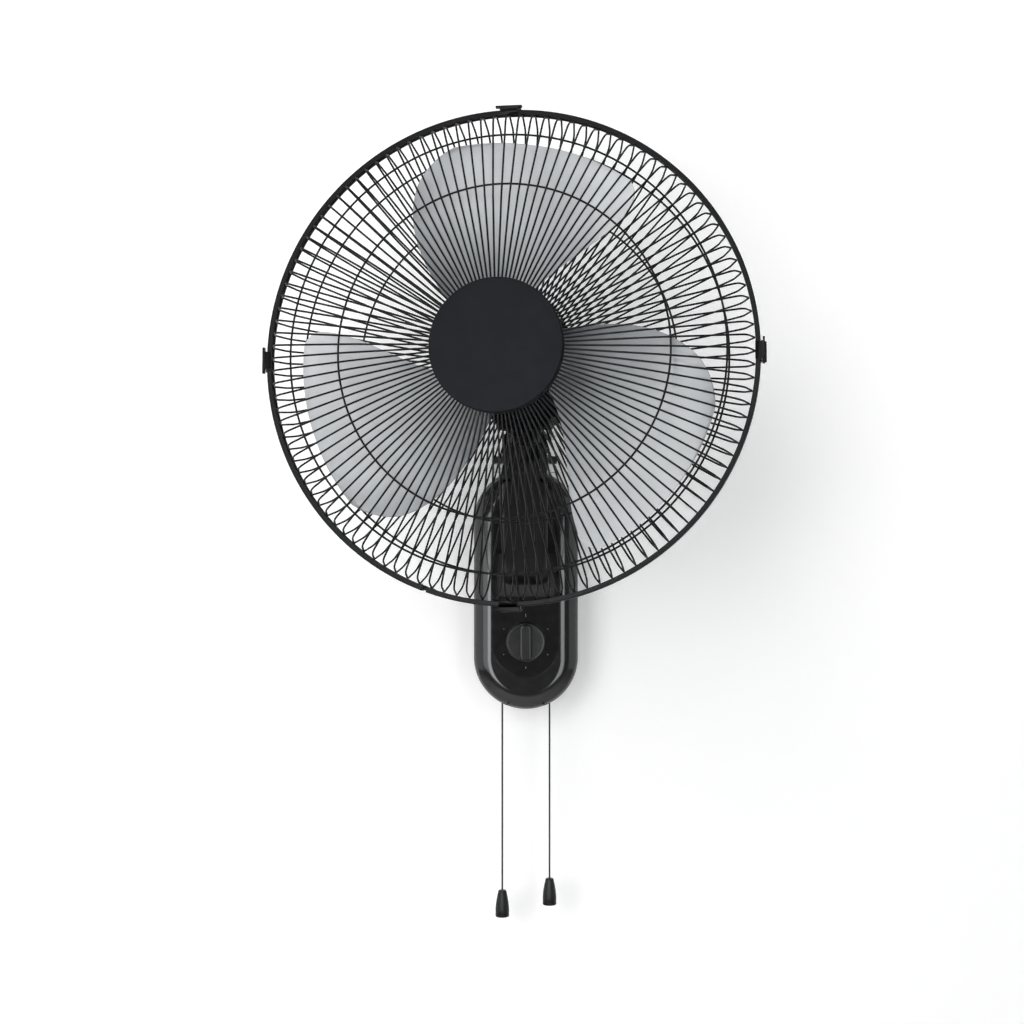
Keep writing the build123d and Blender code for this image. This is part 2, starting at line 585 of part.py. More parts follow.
def front_cover():
    """Front of the motor housing, with the threaded collar of the guard."""
    inner = HOUSING_RADIUS - HOUSING_WALL
    shell = turned((HOUSING_RADIUS, HOUSING_SEAM), (HOUSING_RADIUS, HOUSING_FACE - 4),
                   (HOUSING_RADIUS - 4, HOUSING_FACE), (COLLAR_RADIUS, HOUSING_FACE),
                   (COLLAR_RADIUS, HOUSING_FACE + 12), (16, HOUSING_FACE + 12), (16, HOUSING_FACE - 3),
                   (inner - 3, HOUSING_FACE - 3), (inner, HOUSING_FACE - 6), (inner, HOUSING_SEAM))
    chin = block(-CHIN_HALF, CHIN_HALF, BOSS_FOOT - CHIN_DROP, 0, HOUSING_SEAM, HOUSING_FACE - 1)
    shell += chin - tube(HOUSING_RADIUS - 1, HOUSING_SEAM - 1, HOUSING_FACE)
    shell -= upright(BOSS_RADIUS + 0.6, BOSS_FOOT - 4, BOSS_FOOT + 16)
    for spot in around(Pos(0, FRONT_SPOTS, 0) * (tube(1.8, 5, 20) + tube(3.4, HOUSING_FACE - 1.9, 20)), 3):
        shell -= spot
    return shell


def rear_cover():
    """Rear of the motor housing: rounded cup with cooling slots."""
    outer = tube(HOUSING_RADIUS, HOUSING_TAIL, HOUSING_SEAM - SEAT)
    outer = fillet(outer.faces().sort_by(Axis.Z)[0].edges(), HOUSING_ROUND)
    inner = tube(HOUSING_RADIUS - HOUSING_WALL, HOUSING_TAIL + HOUSING_WALL, HOUSING_SEAM + 1)
    inner = fillet(inner.faces().sort_by(Axis.Z)[0].edges(), HOUSING_ROUND - HOUSING_WALL)
    cup = outer - inner
    for slot in around(block(HOUSING_RADIUS - 17, HOUSING_RADIUS + 6, -1.1, 1.1, HOUSING_TAIL - 1,
                             HOUSING_TAIL + HOUSING_ROUND), 24, 7.5):
        cup -= slot
    for spot in around(Pos(POST_CIRCLE, 0, 0) * tube(1.9, HOUSING_TAIL - 1, HOUSING_TAIL + 4), 4, 45):
        cup -= spot
    cup -= Pos(CRANK_ACROSS, 0, -CRANK_BACK) * upright(4.0, BOSS_FOOT - 4, DRIVE_FOOT - 2)
    return cup


def swing_motor():
    """The small drive of the swing crank, fixed behind the rear end bell."""
    spot = Pos(CRANK_ACROSS, 0, -CRANK_BACK)
    top = DRIVE_FOOT + 12
    drive = spot * upright(SWING_MOTOR, DRIVE_FOOT, top)
    drive += block(CRANK_ACROSS - 8, CRANK_ACROSS + 8, DRIVE_FOOT, top, -CRANK_BACK, BELL_BACK - SEAT)
    return drive - spot * upright(2.5 + RUN, DRIVE_FOOT - 1, DRIVE_FOOT + 7)


def build_motor():
    """The motor with its housing and the swing drive."""
    keep("pivot_bushing", HEAD, upright(7.5, BOSS_FOOT, POST_HEAD_FOOT - 0.1, POST_RADIUS + RUN))
    keep("front_bell", HEAD, front_bell())
    keep("rear_bell", HEAD, rear_bell())
    stator = tube(STATOR_RADIUS, STATOR_BACK, STATOR_FRONT, STATOR_BORE)
    for spot in around(Pos(BOLT_CIRCLE, 0, 0) * tube(2 + RUN, -60, 0), 4, 45):
        stator -= spot
    keep("stator_core", HEAD, stator)
    coil = (BOLT_CIRCLE - 3, STATOR_BORE + 2.5)
    front_coil = tube(coil[0], STATOR_FRONT + 0.1, STATOR_FRONT + 5, coil[1])
    rear_coil = tube(coil[0], STATOR_BACK - 3.5, STATOR_BACK - 0.1, coil[1])
    keep("windings", HEAD, front_coil, rear_coil)
    front_ring = tube(BEARING_RADIUS, *BEARING_FRONT, SHAFT_RADIUS + RUN)
    rear_ring = tube(BEARING_RADIUS, *BEARING_REAR, SHAFT_RADIUS + RUN)
    keep("bearings", HEAD, front_ring, rear_ring)
    bolt = tube(2, BELL_BACK - 2, 10.8) + tube(STUD_HEAD, BELL_BACK - 3, BELL_BACK - SEAT)
    bolt += tube(STUD_HEAD, 8 + SEAT, 10.8)
    keep("motor_bolts", HEAD, *around(Pos(BOLT_CIRCLE, 0, 0) * bolt, 4, 45))
    keep("front_cover", HEAD, front_cover())
    keep("rear_cover", HEAD, rear_cover())
    fixing = screw(3.2, 1.7, 1.65, 8)
    front = Pos(0, FRONT_SPOTS, HOUSING_FACE - 1.8) * fixing
    rear = Pos(POST_CIRCLE, 0, HOUSING_TAIL - SEAT) * (Rot(180, 0, 0) * screw(3.2, 1.7, 1.65, 14))
    keep("housing_screws", HEAD, *around(front, 3), *around(rear, 4, 45))
    keep("swing_motor", HEAD, swing_motor())


# ---------------------------------------------------------------- rotor
PIN_FORWARD = BLADE_CENTRE - 13.0
HUB_BACK = BLADE_CENTRE - 17.0
HUB_FRONT = BLADE_CENTRE + 13.0


def trailing_angle(r):
    """Angle of a vane's front edge, in degrees, at a radius."""
    t = r / 95 - 1
    return 133 - 14 * t - 8 * t ** 3


def leading_angle(r):
    """Angle of a vane's rear edge, in degrees, at a radius."""
    t = r / 95 - 1
    return 61 - 26 * t + 17 * t * t


def tip_turn(r, corner):
    """Degrees by which a rounded tip corner draws an edge in."""
    past = max(0.0, r - (BLADE_RADIUS - corner)) / corner
    return degrees((1 - sqrt(1 - 0.98 * past * past)) * corner / r)


def vane_point(r, s):
    """A point of the first vane's mid surface, s from -1 (rear) to 1 (front)."""
    lead = leading_angle(r) + tip_turn(r, 14)
    trail = trailing_angle(r) - tip_turn(r, 24)
    angle = radians((lead + trail) / 2 + s * (trail - lead) / 2)
    swell = sin(pi * (r - BLADE_HUB) / (BLADE_RADIUS - BLADE_HUB))
    rise = (13.5 + 10.5 * swell) * s - 5 * (1 - s * s)
    return Vector(r * cos(angle), r * sin(angle), BLADE_CENTRE + rise)


def vane():
    """One vane: a thin sheet through a grid of mid surface points."""
    root = BLADE_HUB - 1.5
    radii = [root, 55, 80, 105, *(BLADE_RADIUS - back for back in (60, 40, 24, 14, 7, 2.5, 0))]
    grid = [[vane_point(r, -1 + 2 * j / 10) for j in range(11)] for r in radii]
    sheet = Face.make_surface_from_array_of_points(grid, tol=0.05)
    return Solid.thicken(sheet, BLADE_SHEET / 2) + Solid.thicken(sheet, -BLADE_SHEET / 2)


def fan_blade():
    """The one piece blade moulding: cupped hub and three vanes."""
    hub = turned((BLADE_HUB, HUB_BACK), (BLADE_HUB, HUB_FRONT - 6), (BLADE_HUB - 6, HUB_FRONT),
                 (12, HUB_FRONT), (12, HUB_FRONT - 4), (BLADE_HUB - 8, HUB_FRONT - 4),
                 (BLADE_HUB - 3, HUB_FRONT - 8), (BLADE_HUB - 3, HUB_BACK))
    hub += tube(12.5, HUB_BACK + 2, HUB_FRONT)
    for rib in around(block(11, BLADE_HUB - 2, -1, 1, HUB_BACK + 8, HUB_FRONT - 3), 6, 30):
        hub += rib
    hub -= tube(SHAFT_RADIUS + RUN, HUB_BACK - 1, HUB_FRONT + 1)
    hub -= block(-9, 9, -1.6, 1.6, HUB_BACK, PIN_FORWARD + 1.6)
    for sheet in around(vane(), VANES):
        hub += sheet
    return hub


def build_rotor():
    """Everything that spins about the fan axis."""
    shaft = tube(SHAFT_RADIUS, BELL_BACK - 9, HUB_FRONT + 10)
    shaft -= across(1.5 + 0.02, -9, 9).moved(Location((0, 0, PIN_FORWARD)))
    keep("motor_shaft", HEAD, shaft)
    keep("rotor_core", HEAD, tube(STATOR_BORE - 0.4, STATOR_BACK - 1, STATOR_FRONT + 1, SHAFT_RADIUS + 0.02))
    keep("drive_pin", HEAD, Pos(0, 0, PIN_FORWARD) * across(1.5, -8, 8))
    keep("fan_blade", HEAD, fan_blade())
    nut = turned((SHAFT_RADIUS + 0.05, HUB_FRONT + SEAT), (17, HUB_FRONT + SEAT), (17, HUB_FRONT + 5),
                 (13, HUB_FRONT + 12), (6, HUB_FRONT + 15), (0, HUB_FRONT + 15),
                 (0, HUB_FRONT + 11), (SHAFT_RADIUS + 0.05, HUB_FRONT + 11))
    keep("blade_nut", HEAD, nut)


# ---------------------------------------------------------------- guard
RIM_INNER = RIM_RADIUS - RIM_BAND
EDGE_CENTRE = RIM_RADIUS - RIM_SKIN - EDGE_WIRE - 0.15
EDGE_DEPTH = EDGE_WIRE + 0.15
PLATE_FACE = HOUSING_FACE + SEAT + PLATE_SHEET
REAR_END = (REAR_END_RADIUS, PLATE_FACE + SPOKE_WIRE + SEAT - RIM_FORWARD)
SPOKE_START = RIM_INNER - SPOKE_WIRE - 0.1


def spoke(shoulder, knee, end):
    """One guard wire from the rim to the centre, bent at the shoulder and the knee."""
    side = 1 if shoulder[1] > 0 else -1
    points = [(SPOKE_START, side * 1.8), shoulder, knee, end]
    path = FilletPolyline(*[(x, 0, RIM_FORWARD + d) for x, d in points], radius=(11.0, 80.0))
    section = Plane(origin=path @ 0, x_dir=(0, 1, 0), z_dir=path % 0) * Circle(SPOKE_WIRE)
    return sweep(section, path=path)


def ring(radius, shoulder, knee):
    """A round wire laid against the inside of the guard wires."""
    slope = atan2(knee[1] - shoulder[1], shoulder[0] - knee[0])
    depth = shoulder[1] + (shoulder[0] - radius) * (knee[1] - shoulder[1]) / (shoulder[0] - knee[0])
    side = 1 if depth > 0 else -1
    lift = SPOKE_WIRE + RING_WIRE + 2 * SEAT
    centre = radius - side * lift * sin(slope)
    return Pos(0, 0, RIM_FORWARD + depth - side * lift * cos(slope)) * Torus(centre, RING_WIRE)


def guard_rings(shoulder, knee):
    """The three rings of one guard: edge ring and two that tie the wires."""
    side = 1 if shoulder[1] > 0 else -1
    edge = Pos(0, 0, RIM_FORWARD + side * EDGE_DEPTH) * Torus(EDGE_CENTRE, EDGE_WIRE)
    outer = ring(RING_RADII[0], shoulder, knee)
    inner = ring(RING_RADII[1], shoulder, knee)
    return [edge, outer, inner]


RIM_GAP_ANGLE = 250.0
RIM_GAP = 4.0
LUG_BACK = -15.0


def rim_hoop():
    """The channel band that closes over both edge rings, with its lugs."""
    d = RIM_FORWARD
    r_in = RIM_INNER
    r_skin = RIM_RADIUS - RIM_SKIN
    flat = RIM_HALF - RIM_SKIN
    hoop = turned((r_in, d - RIM_HALF), (RIM_RADIUS, d - RIM_HALF), (RIM_RADIUS, d + RIM_HALF),
                  (r_in, d + RIM_HALF), (r_in, d + flat), (r_skin, d + flat), (r_skin, d - flat),
                  (r_in, d - flat))
    spot = Rot(0, 0, RIM_GAP_ANGLE - 90)
    for low in (-RIM_GAP / 2 - 4, RIM_GAP / 2):
        lug = block(low, low + 4, RIM_INNER, RIM_RADIUS - 0.4, d + LUG_BACK, d - RIM_HALF + 1)
        lug -= Pos(0, RIM_RADIUS - 3, d - 10.5) * across(1.6, low - 1, low + 5)
        hoop += spot * lug
    return hoop - spot * block(-RIM_GAP / 2, RIM_GAP / 2, RIM_INNER - 5, RIM_RADIUS + 5, d - 20, d + 20)


def rim_screw():
    """The screw that draws the lugs of the band together."""
    body = Rot(0, 90, 0) * screw(2.4, 1.8, 1.55, 14)
    return Rot(0, 0, RIM_GAP_ANGLE - 90) * Pos(RIM_GAP / 2 + 4.05, RIM_RADIUS - 3, RIM_FORWARD - 10.5) * body


DISC_SPOTS = 42.0


def centre_disc():
    """The dished disc in the middle of the front guard."""
    face = RIM_FORWARD + DISC_FACE
    disc = turned((0, face), (DISC_RADIUS - 1.5, face - 0.7), (DISC_RADIUS - 0.4, face - 1.2),
                  (DISC_RADIUS, face - 2.2), (DISC_RADIUS, face - 11), (DISC_RADIUS - 2, face - 11),
                  (DISC_RADIUS - 2, face - 3.7), (DISC_RADIUS - 3, face - 2.9), (0, face - 2.2))
    for spot in around(Pos(DISC_SPOTS, 0, 0) * tube(4, RIM_FORWARD + FRONT_END[1] - 1.3, face - 2), 4, 45):
        disc += spot
    for spot in around(Pos(DISC_SPOTS, 0, 0) * tube(1.5, RIM_FORWARD, face - 4), 4, 45):
        disc -= spot
    return disc


def build_guard():
    """Front and rear guards, their rim, disc and fixings."""
    keep("rear_guard_plate", HEAD, tube(PLATE_RADIUS, HOUSING_FACE + SEAT, PLATE_FACE, COLLAR_RADIUS + 0.3))
    nut = tube(31, PLATE_FACE + SEAT, PLATE_FACE + 8, COLLAR_RADIUS + 0.05)
    for notch in around(block(29.5, 33, -2, 2, PLATE_FACE, PLATE_FACE + 9), 12):
        nut -= notch
    keep("guard_lock_nut", HEAD, nut)
    keep("front_guard_spokes", HEAD, *around(spoke(FRONT_SHOULDER, FRONT_KNEE, FRONT_END), SPOKES))
    keep("rear_guard_spokes", HEAD, *around(spoke(REAR_SHOULDER, REAR_KNEE, REAR_END), SPOKES))
    keep("front_guard_rings", HEAD, *guard_rings(FRONT_SHOULDER, FRONT_KNEE))
    keep("rear_guard_rings", HEAD, *guard_rings(REAR_SHOULDER, REAR_KNEE))
    keep("rim_hoop", HEAD, rim_hoop())
    keep("rim_screw", HEAD, rim_screw())
    keep("centre_disc", HEAD, centre_disc())
    low = RIM_FORWARD + FRONT_END[1] - 3.2
    backing = tube(51, low, low + 1.6, 34)
    for spot in around(Pos(DISC_SPOTS, 0, 0) * tube(1.6, low - 1, low + 3), 4, 45):
        backing -= spot
    keep("disc_backing", HEAD, backing)
    fixing = Pos(DISC_SPOTS, 0, low - SEAT) * (Rot(180, 0, 0) * screw(3.0, 1.6, 1.4, 9))
    keep("disc_screws", HEAD, *around(fixing, 4, 45))


# ---------------------------------------------------------------- rim clips
CLIP_PIN_R = RIM_RADIUS + CLIP_PIN_OUT


def clip_bracket():
    """The bracket of a clip on the back of the rim, with its hinge pin, at the top."""
    d = RIM_FORWARD
    back = CLIP_PIN_BACK
    bracket = block(-9.2, 9.2, RIM_INNER + 0.8, RIM_RADIUS, d - RIM_HALF - 1.6, d - RIM_HALF - SEAT)
    for low in (-9.2, 7.2):
        bracket += block(low, low + 2, RIM_INNER + 3, CLIP_PIN_R, d + back - 2.2, d - RIM_HALF - SEAT)
        bracket += Pos(0, CLIP_PIN_R, d + back) * across(2.2, low, low + 2)
    return bracket + Pos(0, CLIP_PIN_R, d + back) * across(CLIP_PIN_RADIUS, -8, 8)


def rim_clip():
    """A clip at the top of the rim: eye, strap, front hook and finger tab."""
    d = RIM_FORWARD
    low = RIM_RADIUS + 0.35
    high = low + 1.6
    strap = block(-7, 7, low, high, d + CLIP_PIN_BACK, d - RIM_HALF + 1.4)
    strap += block(-CLIP_HALF, CLIP_HALF, low, high, d - RIM_HALF + 0.4, d + RIM_HALF + 1.8)
    strap += Pos(0, CLIP_PIN_R, d + CLIP_PIN_BACK) * across(2.25, -7, 7)
    strap += block(-8, 8, RIM_INNER - 0.4, high, d + RIM_HALF + 0.3, d + RIM_HALF + 1.8)
    strap += block(-12, 12, high - 0.2, high + 1.6, d + 2.5, d + RIM_HALF + 1.8)
    return strap - Pos(0, CLIP_PIN_R, d + CLIP_PIN_BACK) * across(CLIP_PIN_RADIUS + RUN, -8, 8)


def build_clips():
    """The four brackets and clips round the rim."""
    bracket = clip_bracket()
    clip = rim_clip()
    turns = {name: Rot(0, 0, angle - 90) for name, angle in CLIP_ANGLES.items()}
    keep("clip_brackets", HEAD, *[turn * bracket for turn in turns.values()])
    for name, turn in turns.items():
        keep("clip_" + name, HEAD, turn * clip)


# ---------------------------------------------------------------- knob and pulls
def speed_knob():
    """The knob: round skirt and bar grip, bored for the switch shaft."""
    foot = PANEL_FRONT + 0.6
    skirt = fillet(tube(KNOB_RADIUS, foot, foot + KNOB_SKIRT).edges().group_by(Axis.Z)[-1], 1.5)
    bar = extrude(Pos(0, 0, foot) * RectangleRounded(GRIP_WIDTH, 2 * KNOB_RADIUS - 4, 4), KNOB_TALL)
    bar = fillet(bar.edges().group_by(Axis.Z)[-1], 1.5)
    return Pos(0, KNOB_HEIGHT, 0) * (skirt + bar - tube(SHAFT_KNOB + 0.02, foot - 1, foot + 9))


def build_controls():
    """The knob with its shaft, and the two pull cords with their pulls."""
    keep("speed_knob", WALL, speed_knob())
    keep("knob_shaft", WALL, Pos(0, KNOB_HEIGHT, 0) * tube(SHAFT_KNOB, 47, PANEL_FRONT + 9))
    for name, side, length in (("left", -1, CORD_LEFT), ("right", 1, CORD_RIGHT)):
        spot = Pos(side * CORD_ACROSS, 0, CORD_OUT)
        top = CORD_EXIT + CORD_INSIDE
        foot = CORD_EXIT - length
        keep(name + "_cord", WALL, spot * upright(CORD_RADIUS, foot, top + 8))
        keep(name + "_bell", WALL, spot * bell(foot))


# ---------------------------------------------------------------- write
build_base()
build_arm()
build_neck()
keep("swing_link", SWING, Pos(PEG_ACROSS, 0, 0) * Rot(0, -PAN_AT_REST, 0) * swing_link())
build_motor()
keep("swing_crank", HEAD, swing_crank())
build_rotor()
build_guard()
build_clips()
build_controls()

for name, solids in pieces.items():
    export_step(Compound(children=solids), "parts/" + name + ".step")
print(len(pieces), "nodes,", sum(len(s) for s in pieces.values()), "solids")
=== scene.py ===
"""Looks of the wall mounted fan, laid out as an add-on and run as a script.

Everything is in metres, in the frame of the packed model: +X right, +Y into the wall, +Z up.
Pieces are shaped in one of three working frames and then placed:
  wall frame  x right, y up, z out of the wall, origin on the wall plane
  neck frame  the same directions from the tilt hinge, turned by the tilt
  head frame  x right, y up, z along the fan axis, from the swing axis
"""
import json
from math import atan2, cos, pi, radians, sin, sqrt

import bmesh
import bpy
from bpy.props import FloatProperty, FloatVectorProperty, IntProperty, PointerProperty
from mathutils import Matrix, Vector


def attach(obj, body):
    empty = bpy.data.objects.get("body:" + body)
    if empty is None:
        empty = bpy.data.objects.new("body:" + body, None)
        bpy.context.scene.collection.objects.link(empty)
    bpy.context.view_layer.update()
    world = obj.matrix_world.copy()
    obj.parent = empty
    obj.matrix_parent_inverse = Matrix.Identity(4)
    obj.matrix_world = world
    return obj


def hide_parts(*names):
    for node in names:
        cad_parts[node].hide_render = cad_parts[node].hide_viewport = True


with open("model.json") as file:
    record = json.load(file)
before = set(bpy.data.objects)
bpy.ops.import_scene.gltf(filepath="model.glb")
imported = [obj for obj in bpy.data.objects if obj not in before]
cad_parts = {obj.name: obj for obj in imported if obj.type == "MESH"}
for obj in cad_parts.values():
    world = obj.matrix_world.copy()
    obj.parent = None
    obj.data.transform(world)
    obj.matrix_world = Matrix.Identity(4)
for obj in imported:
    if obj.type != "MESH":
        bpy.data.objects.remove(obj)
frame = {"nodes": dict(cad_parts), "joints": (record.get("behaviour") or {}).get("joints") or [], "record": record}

bl_info = {
    "name": "Wall fan pieces",
    "version": (1, 0, 0),
    "blender": (4, 5, 0),
    "location": "View3D > Sidebar > Wall fan",
    "description": "Models the shells, guard, blades and cords of a wall mounted fan",
    "category": "Object",
}

TURN = 2 * pi


# ---------------------------------------------------------------- frames of the packed model
def joint(name):
    """A joint of the packed model by its name."""
    return next(j for j in frame["joints"] if j["name"] == name)


def axes(origin, x, y, z):
    """A placing matrix from an origin and three directions."""
    return Matrix.Translation(origin) @ Matrix((x, y, z)).transposed().to_4x4()


BLADE_FORWARD = 0.095   # blade mid plane, from the swing axis
RIGHT = Vector((1, 0, 0))
UP = Vector(joint("oscillate")["axis"]).normalized()
AXIS = Vector(joint("blade_spin")["axis"]).normalized()
HUB = Vector(joint("blade_spin")["pos_m"])
HINGE = Vector(joint("tilt")["pos_m"])
WALL = axes(Vector(), RIGHT, Vector((0, 0, 1)), Vector((0, -1, 0)))
NECK = axes(HINGE, RIGHT, UP, RIGHT.cross(UP))
HEAD = axes(HUB - AXIS * BLADE_FORWARD, UP.cross(AXIS), UP, AXIS)


# ---------------------------------------------------------------- sizes and colours
def number(name, text, value, **more):
    """A number that a user would change."""
    return FloatProperty(name=name, description=text, default=value, **more)


def length(name, text, value):
    """A length that a user would change, in metres."""
    return number(name, text, value, min=0, precision=4, unit="LENGTH", subtype="DISTANCE")


def count(name, text, value):
    """A whole number that a user would change."""
    return IntProperty(name=name, description=text, default=value, min=1)


def shade(name, text, value):
    """A colour that a user would change."""
    return FloatVectorProperty(name=name, description=text, default=value, size=4, min=0, max=1,
                               subtype="COLOR")


class FanBaseSizes(bpy.types.PropertyGroup):
    """Sizes of the wall base and its controls."""
    width: length("Width", "Width of the base", 0.105)
    height: length("Height", "Height of the base", 0.242)
    depth: length("Depth", "From the wall to the front of the cover", 0.062)
    seam: length("Seam", "Where the cover meets the rear shell", 0.022)
    skin: length("Skin", "Thickness of the moulded walls", 0.0026)
    rounding: length("Rounding", "Front edge rounding of the cover", 0.0184)
    flatness: number("Flatness", "Depth of the rounding against its width", 0.68, min=0, max=1)
    panel_width: length("Panel width", "Width of the inset panel", 0.066)
    panel_height: length("Panel height", "Height of the inset panel", 0.174)
    panel_skin: length("Panel thickness", "Thickness of the inset panel", 0.0026)
    knob_drop: length("Knob drop", "Knob centre below the base centre", 0.052)
    knob_radius: length("Knob radius", "Radius of the knob skirt", 0.0197)
    knob_tall: length("Knob height", "Knob height above the panel", 0.014)
    grip_width: length("Grip width", "Width of the knob's bar grip", 0.0112)


class FanNeckSizes(bpy.types.PropertyGroup):
    """Sizes of the neck and its tilt yoke."""
    width: length("Width", "Width of the neck", 0.044)
    thick: length("Thickness", "Thickness of the neck", 0.030)
    corner: length("Corner", "Corner rounding of the neck's section", 0.007)
    rise: length("Rise", "Height of the neck where it leaves the base", 0.020)
    reach: length("Reach", "Distance of the bend from the wall", 0.084)
    bend: length("Bend", "Centre line radius of the bend", 0.034)
    ear: length("Ear", "Radius of the hinge ear", 0.016)
    ear_width: length("Ear width", "Width of the hinge ear", 0.028)
    cheek: length("Cheek", "Thickness of a yoke cheek", 0.007)
    swing_forward: length("Swing forward", "Swing axis in front of the tilt hinge", 0.037)
    bridge_top: length("Bridge top", "Top of the yoke bridge above the hinge", 0.026)
    bridge: length("Bridge", "Thickness of the yoke bridge", 0.009)


class FanMotorSizes(bpy.types.PropertyGroup):
    """Sizes of the motor housing."""
    radius: length("Radius", "Radius of the housing", 0.054)
    face: length("Face", "Front face, in front of the swing axis", 0.014)
    seam: length("Seam", "Seam of the covers, behind the swing axis", 0.014)
    tail: length("Tail", "Rear end, behind the swing axis", 0.072)
    rounding: length("Rounding", "Rounding of the rear end", 0.024)
    skin: length("Skin", "Thickness of the housing", 0.0025)
    collar: length("Collar", "Radius of the threaded collar", 0.022)
    vents: count("Vents", "Cooling slots round the rear end", 24)


class FanGuardSizes(bpy.types.PropertyGroup):
    """Sizes of the wire guard."""
    rim_forward: length("Rim forward", "Rim plane in front of the swing axis", 0.085)
    rim_radius: length("Rim radius", "Outer radius of the rim band", 0.225)
    rim_band: length("Rim band", "Radial depth of the rim band", 0.0045)
    rim_half: length("Rim half width", "Half the width of the rim band", 0.0049)
    spokes: count("Spokes", "Radial wires of each guard", 116)
    wire: length("Wire", "Radius of a radial wire", 0.0009)
    ring_wire: length("Ring wire", "Radius of a ring's wire", 0.00095)
    edge_wire: length("Edge wire", "Radius of the edge ring's wire", 0.0016)
    disc: length("Disc", "Radius of the centre disc", 0.059)
    disc_face: length("Disc face", "Face of the centre disc in front of the rim plane", 0.0725)


class FanBladeSizes(bpy.types.PropertyGroup):
    """Sizes of the blade moulding."""
    radius: length("Radius", "Radius of the blades", 0.192)
    hub: length("Hub", "Radius of the hub", 0.034)
    sheet: length("Sheet", "Thickness of a vane", 0.0019)
    vanes: count("Vanes", "Number of vanes", 3)


class FanCordSizes(bpy.types.PropertyGroup):
    """Sizes of the pull cords and their pulls."""
    across: length("Across", "Cord distance from the middle of the base", 0.0238)
    out: length("Out", "Cord distance from the wall", 0.048)
    wire: length("Cord", "Diameter of a cord", 0.0018)
    left: length("Left length", "Left cord from the base to its pull", 0.1885)
    right: length("Right length", "Right cord from the base to its pull", 0.1765)
    pull: length("Pull", "Height of a pull", 0.0264)
    pull_top: length("Pull top", "Radius of a pull at its top", 0.004)
    pull_foot: length("Pull foot", "Radius of a pull at its foot", 0.0069)


class FanFinishes(bpy.types.PropertyGroup):
    """Colours of the finishes."""
    gloss: shade("Gloss black", "Base cover and rear shell", (0.0030, 0.0030, 0.0034, 1))
    panel: shade("Panel black", "Inset control panel", (0.0038, 0.0038, 0.0042, 1))
    satin: shade("Satin black", "Knob, neck and pulls", (0.0052, 0.0052, 0.0058, 1))
    matte: shade("Matte black", "Centre disc and motor housing", (0.0060, 0.0063, 0.0085, 1))
    wire: shade("Charcoal coat", "Wires and rim of the guard", (0.0060, 0.0061, 0.0070, 1))
    smoke: shade("Smoke", "Light part of the blades", (0.655, 0.675, 0.70, 1))
    # the hub's own smoke; on the vanes it darkens the root and front edge, part for thicker plastic and part as
    # painted shade
    deep: shade("Deep smoke", "Tint of the blades' front edge and root", (0.085, 0.105, 0.125, 1))
    density: number("Smoke density", "How much a vane's face hides", 0.78, min=0, max=1, subtype="FACTOR")
    steel: shade("Zinc", "Plated steel", (0.55, 0.55, 0.56, 1))
    cast: shade("Die cast", "Raw castings", (0.50, 0.50, 0.51, 1))
    copper: shade("Copper", "Enamelled windings", (0.50, 0.19, 0.07, 1))
    bronze: shade("Bronze", "Bearings and bushing", (0.45, 0.28, 0.11, 1))
    resin: shade("Resin", "Switch bodies", (0.55, 0.52, 0.43, 1))
    rubber: shade("Rubber", "Seal and grommet", (0.012, 0.012, 0.012, 1))
    mark: shade("Mark", "Printed marks round the knob", (0.10, 0.10, 0.105, 1))


class FanStageSizes(bpy.types.PropertyGroup):
    """Camera, lamps and backdrop."""
    distance: length("Distance", "Camera distance from the wall", 1.786)
    camera_x: number("Camera x", "Camera place across", 0.0217, unit="LENGTH")
    camera_z: number("Camera z", "Camera height", 0.119, unit="LENGTH")
    lens: number("Lens", "Focal length in millimetres", 60.6)
    shift_x: number("Shift x", "Framing across, in frame widths", -0.0346)
    shift_y: number("Shift y", "Framing upward, in frame widths", -0.0403)
    key: number("Key", "Power of the left lamp", 28, unit="POWER")
    fill: number("Fill", "Power of the right lamp", 8, unit="POWER")
    top: number("Top", "Power of the high lamp", 15, unit="POWER")


SIZES = {
    "fan_base": FanBaseSizes,
    "fan_neck": FanNeckSizes,
    "fan_motor": FanMotorSizes,
    "fan_guard": FanGuardSizes,
    "fan_blade": FanBladeSizes,
    "fan_cord": FanCordSizes,
    "fan_finish": FanFinishes,
    "fan_stage": FanStageSizes,
}


# ---------------------------------------------------------------- modelling by hand
def settle():
    """Leave edit mode and deselect everything."""
    if bpy.context.object and bpy.context.object.mode == "EDIT":
        bpy.ops.object.mode_set(mode="OBJECT")
    bpy.ops.object.select_all(action="DESELECT")


def take(piece):
    """Make a piece the active one and the only one selected."""
    settle()
    bpy.context.view_layer.objects.active = piece
    piece.select_set(True)


def label(piece, name):
    """Name a piece and its data."""
    piece.name = name
    piece.data.name = name
    return piece


def named(name):
    """Name the piece just added and open it for editing."""
    piece = label(bpy.context.object, name)
    bpy.ops.object.mode_set(mode="EDIT")
    bpy.ops.mesh.select_mode(type="VERT")
    bpy.ops.mesh.select_all(action="SELECT")
    return piece


def pick(kind, test):
    """In edit mode, select the vertices, edges or faces whose centre and normal pass a test."""
    bpy.ops.mesh.select_mode(type=kind)
    bpy.ops.mesh.select_all(action="DESELECT")
    mesh = bmesh.from_edit_mesh(bpy.context.object.data)
    if kind == "VERT":
        for vert in mesh.verts:
            vert.select = bool(test(vert.co))
    elif kind == "EDGE":
        for edge in mesh.edges:
            edge.select = all(test(v.co) for v in edge.verts)
    else:
        mesh.normal_update()
        for face in mesh.faces:
            face.select = bool(test(face.calc_center_median(), face.normal))
    mesh.select_flush_mode()
    bmesh.update_edit_mesh(bpy.context.object.data)


def move(*value):
    """Move what is selected."""
    bpy.ops.transform.translate(value=value)


def pull(*value):
    """Extrude what is selected."""
    bpy.ops.mesh.extrude_region_move(TRANSFORM_OT_translate={"value": value})


